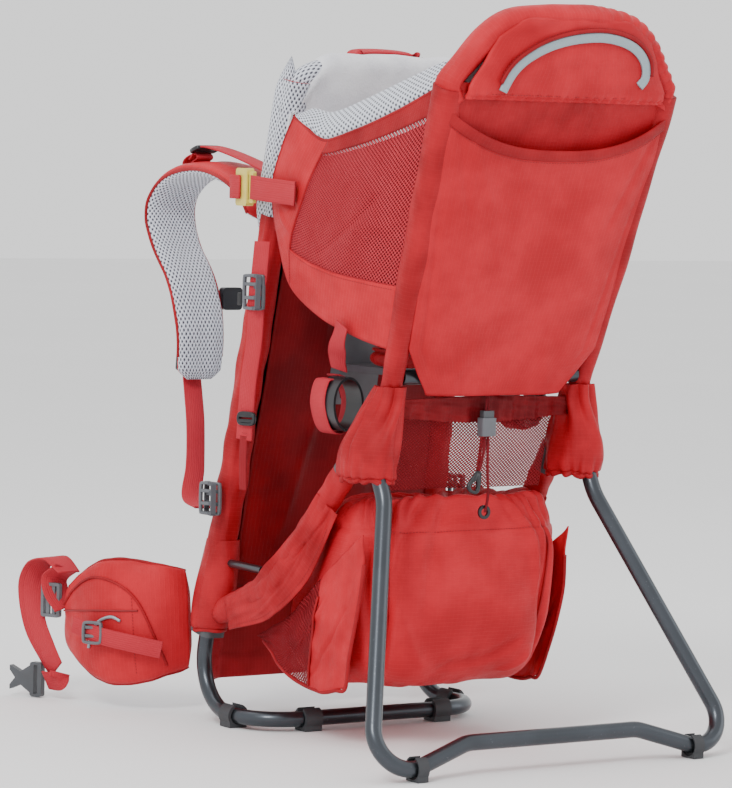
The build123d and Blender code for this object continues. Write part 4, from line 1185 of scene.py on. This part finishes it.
for name, side in SIDES.items():
    points = strap_points(STRAP_LINE, side)
    widths, thicks = [s[2] for s in STRAP_LINE], [s[3] for s in STRAP_LINE]
    strap, g = strap_pad(f"shoulder_strap_{name}", points, widths, thicks, (1, 0, 0), RED, SPACER, True)
    put(strap, "harness", f"shoulder_strap_{name}", fill=0.7)
    for edge in (0, 20):
        bead = cord_line(f"shoulder_piping_{name}_{edge}", g[3:-3:6, edge], 1.9, TRIM, count=220)
        put(bead, "harness")
    lifter_line = [(214, 577), (196, 590), (168, 589), (120, 580), (62, 566)]
    lifter = ribbon(f"load_lifter_{name}", strap_points(lifter_line, side), (1, 0, 0), 22, WEB, 2.2, 90)
    put(lifter, "harness", *once(side, "load_lifters"), slot="webbing")
    wrap = [(222, 564.5), (228, 573), (220, 579.5), (204, 583), (199, 579), (210, 574)]
    anchor = ribbon(f"load_lifter_anchor_{name}", strap_points(wrap, side), (1, 0, 0), 20, WEB, 1.8, 70)
    put(anchor, "harness", slot="webbing")
    lock = ladder(
        f"load_lifter_lock_{name}", (side * STRAP_X, 199, 588), (1, 0, 0), (0, -0.9, 0.3), 24, 17, BLACK
    )
    put(lock, "harness", slot="moulded")
    tab = [(side * 58, 214, 430), (side * 50, 211, 430), (side * 44, 210, 430)]
    put_web("harness", f"sternum_web_{name}", tab, (0, 0.2, 1), 17, WEB_DARK, 1.8, 30)

u, v = uv_grid(70, 40)
yoke_grid = back(-(2 * u - 1) * 105, 380 + 80 * v, -31.0)
yoke = sheet(
    "harness_yoke", yoke_grid, RED, 3.0, crown=3.0, edge=0.15,
    bump=-1.2 * ridge(np.abs(2 * u - 1) - 0.6, 0.04)
)
put(yoke, "harness", "harness_yoke", fill=0.5)

for name, side in SIDES.items():
    low = [
        (84, 217, 378), (85, 216, 352), (88, 207, 330), (95, 190, 298), (103, 176, 255), (122, 150, 225),
        (143, 90, 220)
    ]
    points = sided(low, side)
    strap_web = ribbon(f"strap_web_{name}", points, (1, 0, 0), 22, WEB, 2.0, 110)
    points_m(points[1])
    points_m(points[-2])
    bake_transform(strap_web)
    side_line = [
        (142, -9, 497), (146, -10, 462), (147.5, -8.5, 446), (146, -4, 400), (147.5, 4, 352), (148, 9, 296)
    ]
    points = sided(side_line, side)
    put_web(
        "carrier", f"side_web_{name}", points, (-0.35 * side, -1, 0), 20, WEB, 1.9, 110,
        nodes=once(side, "side_webbing")
    )
    thin = [(148.5, 9, 300), (147, 12, 270), (145, 14, 245)]
    put_web(
        "carrier", f"side_web_tail_{name}", sided(thin, side), (-0.35 * side, -1, 0), 9, WEB_DARK, 1.6, 40
    )
    for z in (303, 299):
        row = [(side * 149.4, 9 + k, z) for k in (-8.5, 0, 8.5)]
        put(stitch_row(f"side_web_stitch_{name}_{z}", row, THREAD), "carrier")
    entry = [(150, 2, 551), (152, -22, 549.5), (151, -46, 548), (149, -78, 546)]
    points = sided(entry, side)
    put_web(
        "carrier", f"entry_strap_{name}", points, (0, 0, 1), 24, WEB, 1.9, 70,
        nodes=once(side, "entry_straps")
    )
    loop = [(151, 22, 551), (150, 36, 551), (146, 47, 551), (140, 46, 551), (133, 34, 551)]
    put_web(f"entry_{name}", f"entry_anchor_{name}", sided(loop, side), (0, 0, 1), 24, WEB, 2.2, 50)

# The haul loop on the top bar.
haul = [
    (-38, 10, -6), (-36, 14, -12), (-24, 15.5, -18), (0, 16, -20), (24, 15.5, -18), (36, 14, -12),
    (38, 10, -6)
]
haul_points = [back(np.array(1.0 * x), np.array(RISE + r), np.array(1.0 * out)) for x, r, out in haul]
put_web("carrier", "haul_loop", haul_points, (0, 1, 0.2), 18, WEB, 2.6, 110, nodes=("haul_loop",))

# ---- hip belt ---------------------------------------------------------------------------------
WING = [  # x, y, z of the middle, height, thickness
    (122, 148, 98, 100, 16),
    (156, 160, 96, 118, 22),
    (184, 190, 93, 130, 26),
    (196, 230, 91, 122, 24),
    (196, 268, 90, 90, 16),
    (192, 284, 90, 54, 9),
]
for name, side in SIDES.items():
    body = f"hip_{name}"
    points = sided([station[:3] for station in WING], side)
    wing, g = strap_pad(
        f"hip_wing_{name}", points, [s[3] for s in WING], [s[4] for s in WING], (0, 0, 1), RED, SPACER,
        side < 0, 130, 48
    )
    put(wing, body, f"hip_wing_{name}", fill=0.75)
    outer = 36 if side < 0 else 12
    away = unit(g[:, outer] - g.mean(axis=1))
    for j, tag in ((0, "top"), (24, "bottom")):
        put(cord_line(f"hip_binding_{name}_{tag}", g[3:-2:6, j], 2.0, TRIM, count=160), body)

    def on_wing(s, rise, lift=0.8):
        """A point on the wing's outer skin: s along it from 0 to 1 and rise up it from -1 to 1."""
        i = int(round(s * 129))
        turn = math.asin(max(-1, min(1, rise)))
        j = outer + (turn / math.pi * 24) * (1 if side < 0 else -1)
        low = int(math.floor(j))
        share = j - low
        p = g[i, low % 48] * (1 - share) + g[i, (low + 1) % 48] * share
        return p + away[i] * lift

    arc = [
        on_wing(s, r) for s,
        r in ((0.16, -0.75), (0.22, -0.2), (0.30, 0.25), (0.42, 0.55), (0.6, 0.68), (0.8, 0.6), (0.95, 0.3))
    ]
    put(cord_line(f"hip_piping_{name}", arc, 1.5, TRIM, count=140), body)
    flat_seam = [on_wing(s, 0.12) for s in (0.30, 0.4, 0.55, 0.7, 0.85, 0.96)]
    put(cord_line(f"hip_seam_{name}", flat_seam, 1.0, THREAD, count=90), body)
    rise_seam = [on_wing(0.33, r) for r in (-0.8, -0.4, 0.0, 0.3)]
    put(stitch_row(f"hip_rise_seam_{name}", rise_seam, THREAD), body)
    zip_line = [
        on_wing(s, r, 1.4) for s,
        r in ((0.40, 0.02), (0.46, 0.06), (0.54, 0.0), (0.60, -0.16), (0.62, -0.36))
    ]
    put(cord_line(f"hip_zip_{name}", zip_line, 1.6, PIPING, count=60), body, slot="moulded")
    stabiliser = [(218.5, 226, 88), (209, 190, 80), (188, 157.5, 74), (163, 138, 68)]
    points = sided(stabiliser, side)
    put_web(body, f"hip_stabiliser_{name}", points, (0, 0, 1), 18, WEB, 1.9, 80)
    lock = ladder(
        f"hip_stabiliser_lock_{name}", (side * 212.5, 196, 82), (0.5 * side, 0.85, 0), (0, 0.05, 1), 17, 24,
        GREY_PLASTIC
    )
    put(lock, body, slot="moulded")

    belt = [
        (197, 274, 137), (201, 298, 150), (205, 324, 142), (207, 338, 114), (211, 322, 79), (209, 300, 52),
        (205, 284, 32)
    ]
    twist = np.linspace(0, 1, len(belt))
    across = [(side * (1 - t) * 0.9, 0.77 * t, 0.1 - 0.73 * t) for t in twist]
    points = sided(belt, side)
    put_web(body, f"hip_belt_{name}", points, across, 29, WEB, 1.9, 130, nodes=(f"hip_webbing_{name}",))
    tail = [(195, 283, 98), (199, 296, 112), (200, 300, 128), (197, 280, 141)]
    put_web(body, f"hip_belt_start_{name}", sided(tail, side), (side * 0.9, 0.3, 0.1), 28, WEB, 1.8, 50)
    end = [(205.5, 275, 30), (206.5, 279, 20.5), (208.5, 300.5, 19)]
    put_web(body, f"hip_belt_end_{name}", sided(end, side), (side * 0.42, 0.0, 0.9), 22, WEB, 1.8, 40)

u, v = uv_grid(80, 40)
lumbar_x = (2 * u - 1) * 106
lumbar_grid = np.stack([-lumbar_x, 139.5 + 0 * u, 51 + 94 * v], -1)
lumbar = sheet(
    "lumbar_pad", lumbar_grid, SPACER, 4.0, crown=8.0, edge=0.2,
    bump=-1.6 * ridge(np.abs(2 * u - 1) - 0.4, 0.03)
)
put(lumbar, "carrier", "lumbar_pad", slot="spacer_mesh", fill=0.7)

u, v = uv_grid(90, 50)
rear_face = np.stack(
    [-(2 * u - 1) * 126, 132.5 - 22 * smoothstep((np.abs(2 * u - 1) - 0.72) / 0.28), 36 + 118 * v], -1
)[::-1]
folds = waves(u, v, 67, 7, 1, 4, 1.4) - 1.8 * ridge(v - 0.8, 0.03) - 1.8 * ridge(v - 0.22, 0.03)
put(sheet("lumbar_cover", rear_face, RED_FOLD_SHADE, 2.0, bump=folds), "carrier", flat=True)

# ---- seat, front rest and stirrups ------------------------------------------------------------
def cushion(name, outline, low, high, axis_up, material, around=64, layers=9):
    """A crowned closed form over a closed outline, pulled in at its top and bottom edges."""
    ring = even(outline, around, closed=True)
    middle = ring.mean(axis=0)
    axis = np.asarray(axis_up, float)
    rings = []
    for k in range(layers):
        t = k / (layers - 1) * 2 - 1
        size = max((1 - abs(t) ** 3.2) ** 0.5, 0.02)
        reach = 0.72 + 0.28 * size if 0 < k < layers - 1 else 0.6
        height = low + (high - low) * (t + 1) / 2
        rings.append(middle + (ring - middle) * reach + axis * height)
    return ring_loft(name, np.array(rings), material)


seat_outline = [
    (62 * math.cos(a), -108 + 66 * math.sin(a), 0) for a in np.linspace(0, TAU, 16, endpoint=False)
]
seat = cushion("seat_pad", seat_outline, 373, 392, (0, 0, 1), RED_SEAT_SHADE)
seat = puff(seat, 5)
put(seat, "seat", "seat_pad", slot="lining", fill=0.75)
seam_ring = [
    (58 * math.cos(a), -108 + 62 * math.sin(a), 391.5) for a in np.linspace(0, TAU, 20, endpoint=False)
]
put(cord_line("seat_piping", seam_ring, 1.6, TRIM, closed=True, count=120), "seat", slot="lining")

def both_sides(right, top, bottom):
    """A closed outline from its right half, going up, and its points on the middle line."""
    left = [(-x, y) for x, y in right]
    return [*left, (0, top), *right[::-1], (0, bottom)]


FRONT_REST = both_sides([(100, 356), (102, 430), (100, 500), (78, 524)], 527, 355)
front_outline = [back(np.array(x * 1.0), np.array(r * 1.0), np.array(0.0)) for x, r in FRONT_REST]
front_rest = cushion("front_rest_pad", front_outline, 32, 42, tuple(BACK_OUT), FLEECE)
front_rest = puff(front_rest, 4)
put(front_rest, "carrier", "front_rest_pad", slot="lining", fill=0.7)

BACK_REST = both_sides([(101, 54), (106, 150), (113, 285), (98, 298)], 299, 52)
rest_outline = [rear(np.array(x * 1.0), np.array(h * 1.0), np.array(0.0)) for x, h in BACK_REST]
back_rest = cushion("back_rest_pad", rest_outline, -24, -13, tuple(REAR_OUT), FLEECE)
back_rest = puff(back_rest, 4)
put(back_rest, "carrier", "back_rest_pad", slot="lining", fill=0.7)

for name, side in SIDES.items():
    web = [(138, -150, 420), (135, -139, 401), (125, -123, 386), (116.5, -114.5, 374)]
    put_web(
        "carrier", f"stirrup_web_{name}", sided(web, side), (0, 1, -0.3), 19, WEB, 1.9, 60,
        nodes=once(side, "stirrup_webbing")
    )
    loop = [
        (117, -98, 364), (126, -98, 361), (131, -99, 340), (124, -100, 316), (112, -100, 310),
        (100, -100, 318), (94, -99, 342), (102, -98, 362), (112, -97.5, 368)
    ]
    put_web(f"stirrup_{name}", f"stirrup_cover_{name}", sided(loop, side), (0, 1, 0), 26, WEB, 1.6, 90)


# ---- storage bag ------------------------------------------------------------------------------
BAG = [  # z, half width, front y, rear y, corner sharpness
    (55, 60, -20, -128, 2.6),
    (57, 88, -2, -146, 3.0),
    (66, 102, 10, -164, 3.4),
    (84, 110, 19, -181, 3.8),
    (116, 114, 8, -190, 4.0),
    (150, 116, -12, -192, 4.0),
    (190, 116.5, -48, -191, 4.0),
    (216, 115, -70, -189, 3.8),
    (236, 111, -88, -182, 3.4),
    (248, 106, -100, -175, 3.0),
    (251, 92, -106, -168, 2.8),
    (246, 60, -118, -158, 2.6),
]
BAG_ROWS, BAG_AROUND = 110, 180
levels = resample(np.array(BAG, float), BAG_ROWS)
a = np.linspace(0, TAU, BAG_AROUND, endpoint=False)
bag = []
for z, half, front, back_y, sharp in levels:
    ca = np.sign(np.cos(a)) * np.abs(np.cos(a)) ** (2 / sharp)
    sa = np.sign(np.sin(a)) * np.abs(np.sin(a)) ** (2 / sharp)
    bag.append(np.stack([half * ca, (front + back_y) / 2 + (front - back_y) / 2 * sa, z + 0 * a], 1))
bag = np.array(bag)
n = -grid_normals(bag, True)
u, v = param(bag)
height = bag[..., 2]
casing = smoothstep((height - 216) / 14)
gathers = 1.5 * casing * np.sin(v * TAU * 34 + 1.5 * np.sin(v * TAU * 5))
creases = crease(
    bag,
    [
        (0.80, 0.70, 0.30, 0.62, 0.012, -3.2),
        (0.78, 0.74, 0.42, 0.71, 0.010, -2.4),
        (0.80, 0.79, 0.45, 0.84, 0.010, 2.6),
        (0.76, 0.82, 0.30, 0.87, 0.012, -2.6),
        (0.42, 0.66, 0.25, 0.72, 0.012, 2.2),
        (0.34, 0.80, 0.24, 0.74, 0.010, -2.4),
        (0.30, 0.84, 0.20, 0.80, 0.010, 2.0),
        (0.85, 0.635, 0.20, 0.632, 0.008, -4.0),
        (0.85, 0.865, 0.20, 0.868, 0.008, -4.0),
        (0.60, 0.56, 0.25, 0.60, 0.012, -3.0),
        (0.70, 0.52, 0.35, 0.50, 0.014, 2.5),
        (0.60, 0.94, 0.25, 0.90, 0.012, -3.0),
        (0.70, 0.98, 0.35, 0.97, 0.014, 2.5),
    ],
)
bulge = 3.0 * ridge(u - 0.5, 0.25)
seam_dip = -1.4 * ridge(height - 218, 2.2)
lumps = waves(u * 2, v * 5, 71, 9, 0.7, 2.6, 2.4)
bag = bag + n * (gathers + 1.5 * creases + bulge + seam_dip + lumps - 2.0)[..., None]
bag_ob = ring_loft("storage_bag", bag, RED)
put(bag_ob, "carrier", "storage_bag", fill=0.55)
n = -grid_normals(bag, True)
row = int(np.argmin(np.abs(levels[:, 0] - 218)))
casing_line = (bag + n * 0.5)[row, 112:160:3]
put(stitch_row("bag_casing_stitches", casing_line, THREAD), "carrier")
for share, tag in ((0.632, "left"), (0.868, "right")):
    j = int(share * BAG_AROUND)
    put(cord_line(f"bag_side_seam_{tag}", (bag + n * 0.4)[22:88:6, j], 1.1, TRIM, count=120), "carrier")

# ---- side pockets with their diagonal flaps -------------------------------------------------------
POCKET_LOW = [(4, 92), (-40, 64), (-96, 52), (-140, 60)]
POCKET_HIGH = [(6, 98), (-50, 124), (-112, 172), (-176, 216)]
POCKET_REAR = [(-140, 60), (-170, 150), (-176, 216)]
pocket = side_patch(POCKET_LOW, POCKET_HIGH, None, POCKET_REAR, 90, 50)
u, v = param(pocket)
pocket[..., 0] = -127 + 5 * (1 - v) ** 3 + 3 * u**6 - 3.0 * np.sin(np.pi * u) * np.sin(np.pi * v)
POCKET_CREASES = [(0.3, 0.2, 0.7, 0.8, 0.02, 2.5), (0.6, 0.1, 0.9, 0.6, 0.02, -2.2)]
folds = waves(u * 2, v, 81, 7, 1, 4, 1.3) + crease(pocket, POCKET_CREASES)
pocket = pocket + grid_normals(pocket) * folds[..., None]
FLAP_HIGH = [(44, 132), (-20, 158), (-76, 206), (-114, 252)]
FLAP_LOW = [(34, 100), (-36, 120), (-90, 162), (-132, 232)]
flap = side_patch(FLAP_LOW, FLAP_HIGH, None, None, 100, 30)
u, v = param(flap)
strut_x = np.interp(flap[..., 1], [-196, -45, 72], [112, 139, 130.6])
flap[..., 0] = -(strut_x + 12.5) + 10 * (1 - v) ** 1.5 * smoothstep(u * 3)
FLAP_CREASES = [(0.2, 0.2, 0.8, 0.5, 0.03, 2.4), (0.5, 0.8, 0.95, 0.3, 0.03, -2.4)]
folds = waves(u * 2, v, 83, 7, 1, 4, 1.2) + crease(flap, FLAP_CREASES)
flap = flap + grid_normals(flap) * folds[..., None]
POCKET_SEAM = 54  # the row of the pocket grid where its net meets its cloth
STRUT = [(130.6, 72, 113.5), (137, 0, 140), (139, -45, 160), (131, -88, 212), (122, -138, 274)]
for name, side in SIDES.items():
    net_ob = sheet(f"side_pocket_net_{name}", on_side(pocket[: POCKET_SEAM + 1], side), RED_NET_FINE, 0.9)
    put(
        sheet(f"side_pocket_cloth_{name}", on_side(pocket[POCKET_SEAM:], side), RED, 1.4), "carrier",
        flat=True
    )
    seam_line = flip(pocket[POCKET_SEAM, 1:-1:8] + [-1.2, 0, 0], side)
    put(cord_line(f"side_pocket_seam_{name}", seam_line, 1.3, TRIM, count=80), "carrier")
    put(net_ob, "carrier", *once(side, "side_pockets"), slot="pocket_mesh", flat=True)
    rim = np.concatenate([pocket[::10, 0], pocket[-1, ::10]])
    put(cord_line(f"side_pocket_binding_{name}", flip(rim, side), 2.0, TRIM, count=160), "carrier")
    put(sheet(f"strut_flap_{name}", on_side(flap, side), RED_FOLD_SHADE, 1.6), "carrier", flat=True)
    put(
        stitch_row(f"strut_flap_stitches_{name}", flip(flap[2:-2:8, 3] + [-1.0, 0, 0], side), THREAD),
        "carrier"
    )
    path = even(flip(STRUT, side), 90)
    g = tube_rings(path, (1, 0, 0), 12.0, 12.5, 32, 2.1)
    u2, v2 = param(g)
    g = g + unit(g - path[:, None]) * (waves(u2 * 2, v2, 85, 7, 2, 7, 0.8))[..., None]
    put(ring_loft(f"strut_sleeve_{name}", g, RED_FOLD_SHADE), "carrier", fill=0.5)

# ---- rear mesh window and skirt -------------------------------------------------------------------
def window_grid(nu, nv, x_half, low, high, out):
    """A grid on the leaning plane of the rear mesh, between two heights up it."""
    u, v = uv_grid(nu, nv)
    x = (2 * u - 1) * x_half
    up_axis, out_axis = np.array([0, -0.2334, 0.9724]), np.array([0, -0.9724, -0.2334])
    rise = low + (high - low) * v
    flat = np.array([0, -166, 262.0]) + x[..., None] * [1, 0, 0] + rise[..., None] * up_axis
    return flat + np.broadcast_to(out, u.shape)[..., None] * out_axis


u, v = uv_grid(80, 40)
mesh_grid = window_grid(80, 40, 92, -4, 84, 2 + 5 * np.sin(np.pi * u) * np.sin(np.pi * v))
window = sheet("rear_mesh_window", mesh_grid, RED_NET_FINE, 0.9, bump=waves(u, v, 91, 6, 1, 4, 1.0))
put(window, "carrier", "rear_mesh_panel", slot="pocket_mesh", flat=True)
u, v = uv_grid(110, 24)
skirt_sag = 10 * np.abs(2 * u - 1) ** 1.5
x = (2 * u - 1) * 104
z = 352 - 3 * np.abs(2 * u - 1) - (27 - skirt_sag) * (1 - v)
skirt = np.stack([x, -197.5 + 3 * (1 - v), z], -1)
skirt_folds = 1.6 * np.sin(u * 70 + 3 * np.sin(u * 9)) * (1 - v) ** 0.5 + waves(u * 2, v, 93, 6, 1, 4, 1.0)
skirt_ob = sheet("rear_skirt", skirt, RED_INNER_SHADE, 1.6, bump=skirt_folds)
put(skirt_ob, "carrier", flat=True, held="gathered")

# ---- gathered cuffs round the hinges --------------------------------------------------------------
CUFF = [  # z, centre x, centre y, half width, half depth
    (270, 125, -181, 19, 30),
    (274, 125, -180, 22, 34),
    (286, 125, -181, 24, 36),
    (305, 124, -184, 24, 35),
    (328, 120, -190, 19, 27),
    (346, 116, -195, 16, 21),
    (362, 113, -200, 14, 16),
]
for name, side in SIDES.items():
    rows = resample(np.array(CUFF, float), 80)
    a = np.linspace(0, TAU, 120, endpoint=False)
    g = np.array(
        [np.stack([x + hx * np.cos(a), y + hy * np.sin(a), z + 0 * a], 1) for z, x, y, hx, hy in rows]
    )
    u, v = param(g)
    n = -grid_normals(g, True)
    pleats = 2.0 * np.sin(v * TAU * 15 + 2 * np.sin(v * TAU * 3)) * ridge(u, 0.28)
    pleats += 2.2 * np.sin(v * TAU * 7 + 1.3 * np.sin(u * 9)) * ridge(u - 0.75, 0.35)
    g = g + n * (
        pleats - 0.5 + waves(u, v * 3, 95, 8, 0.8, 2.6, 1.6) - 3.0 * ridge(u - 0.13, 0.03)
    )[..., None]
    skin = sheet_ring(f"hinge_cuff_{name}", flip_ring(g, side), RED_FOLD_SHADE, 2.0)
    put(skin, "carrier", *once(side, "hinge_sleeves"), fill=0.3)
    hem = flip_ring(g, side)[1]
    put(cord_line(f"hinge_cuff_hem_{name}", hem[::4], 2.6, TRIM, closed=True, count=200), "carrier")

# ---- cloth lower corners of the back, over the frame joints ------------------------------------------
CORNER = [  # z, centre x, centre y, half width, half depth
    (92, 131, 94, 15, 18),
    (98, 131, 94, 17, 21),
    (116, 130, 93, 17.5, 25),
    (140, 129, 88, 17, 26),
    (168, 128, 82, 16, 22),
    (188, 127, 79, 14.5, 17),
]
for name, side in SIDES.items():
    rows = resample(np.array(CORNER, float), 50)
    a = np.linspace(0, TAU, 72, endpoint=False)
    g = np.array(
        [np.stack([x + hx * np.cos(a), y + hy * np.sin(a), z + 0 * a], 1) for z, x, y, hx, hy in rows]
    )
    u, v = param(g)
    g = g - grid_normals(g, True) * (
        waves(u, v * 2, 97, 8, 0.8, 2.4, 1.2) - 2.0 * ridge(u - 0.12, 0.04)
    )[..., None]
    put(sheet_ring(f"lower_corner_{name}", flip_ring(g, side), RED_FOLD_SHADE, 2.0), "carrier", fill=0.3)

# ---- pull tab on the drawstring ------------------------------------------------------------------
tab_up, tab_side = unit(np.array([0.38, 0, 0.92])), unit(np.array([0.92, 0, -0.38]))
tab_outline = [
    (9.5, 2.2), (8, 3.2), (-2, 6.4), (-9, 7.6), (-12.6, 4), (-13.2, 0), (-12.6, -4), (-9, -7.6), (-2, -6.4),
    (8, -3.2), (9.5, -2.2)
]
tab_hole = [
    (-1.0, 1.6), (-6, 4.0), (-9.6, 3.0), (-10.2, 0), (-9.6, -3.0), (-6, -4.0), (-1.0, -1.6), (-0.4, 0)
]
outer_ring, inner_ring = even([(p, q, 0.0) for p, q in tab_outline], 48, True), even(
    [(p, q, 0.0) for p, q in tab_hole], 48, True
)
start = int(np.argmin(np.linalg.norm(inner_ring - outer_ring[0], axis=1)))
inner_ring = np.roll(inner_ring, -start, axis=0)
TAB_FOOT = np.array([-14.6, -208.0, 268.6])
rings = []
for flat_ring, depth in ((outer_ring, -1.2), (outer_ring, 1.2), (inner_ring, 1.6), (inner_ring, -1.6)):
    place = TAB_FOOT + flat_ring[:, :1] * tab_up + flat_ring[:, 1:2] * tab_side
    rings.append(place + np.array([0, 1.0, 0]) * depth)
rings = np.array(rings)
verts = rings.reshape(-1, 3)
faces = grid_faces(4, 48, closed_u=True, closed_v=True)
tab = mesh_piece("drawstring_pull_tab", verts, faces, np.zeros((len(verts), 2)), BLACK)
put(tab, "carrier", "drawstring_pull", slot="moulded")


# ---- materials of the CAD nodes that stay ------------------------------------------------------------
NODE_PAINT = {
    METAL: ["back_frame_tube", "base_loop_tube", "cockpit_frame_tube", "kickstand_tube", "frame_braces"],
    STEEL: ["hinge_pins"],
    RUBBER: ["base_feet", "kickstand_feet"],
    PLASTIC: [
        "frame_joint_blocks",
        "hinge_brackets",
        "kickstand_hubs",
        "hip_buckle_plug",
        "hip_buckle_socket",
        "cord_lock_button",
    ],
    GREY_PLASTIC: ["hip_ladderlock_left", "hip_ladderlock_right", "cord_lock_body", "seat_carrier"],
    BLACK: [
        "strap_ladderlocks",
        "sternum_buckle_plug",
        "sternum_buckle_socket",
        "harness_rail",
        "back_board",
        "drawstring_grommet",
        "stirrup_left",
        "stirrup_right",
    ],
    YELLOW: ["entry_buckle_left", "entry_buckle_right", "entry_latches"],
}
for material, names in NODE_PAINT.items():
    for node_name in names:
        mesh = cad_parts[node_name].data
        mesh.materials.clear()
        mesh.materials.append(material)

# The side adjusters have rounder rims and slightly dished bars than their plain solids.
adjusters = []
for side in SIDES.values():
    for tag, centre, lean, tip, wide, long, material in (
        ("side_adjuster", (149.6, -6.5, 446), 0.35, 0.02, 20, 36, GREY_PLASTIC),
        ("lower_adjuster", (151.5, 66, 232), 0.4, 0, 20, 34, GREY_PLASTIC),
        ("side_slider", (149.5, 3, 318), 0.35, 0, 16, 14, BLACK),
    ):
        across, along = (-lean * side, -1, 0), (tip * side, 0, 1)
        adjusters.append(ladder(tag, sided([centre], side)[0], across, along, wide, long, material))
put(merge("side_adjusters", adjusters), "carrier", slot="moulded")

# ---- floor and light -----------------------------------------------------------------------------------
bpy.ops.mesh.primitive_plane_add(size=30, location=(0, 0, -0.0005))
floor = bpy.context.object
floor.name = "floor"
floor.data.materials.append(floor_paint("pale_floor"))

world = bpy.data.worlds.new("studio")
world.use_nodes = True
world.node_tree.nodes["Background"].inputs["Color"].default_value = (1, 1, 1, 1)
world.node_tree.nodes["Background"].inputs["Strength"].default_value = 1.25
bpy.context.scene.world = world


def lamp(name, place, target, size, power):
    data = bpy.data.lights.new(name, "AREA")
    data.shape = "RECTANGLE"
    data.size = size
    data.size_y = size * 1.3
    data.energy = power
    ob = bpy.data.objects.new(name, data)
    bpy.context.collection.objects.link(ob)
    ob.location = place
    ob.rotation_euler = (Vector(target) - Vector(place)).to_track_quat("-Z", "Y").to_euler()


lamp("key", (-2.4, -1.6, 2.6), (0, 0, 0.35), 0.9, 70)
lamp("fill", (2.4, -1.4, 1.0), (0, 0, 0.35), 1.2, 10)
lamp("top", (-0.4, 0.6, 2.8), (0, 0, 0.3), 1.8, 18)
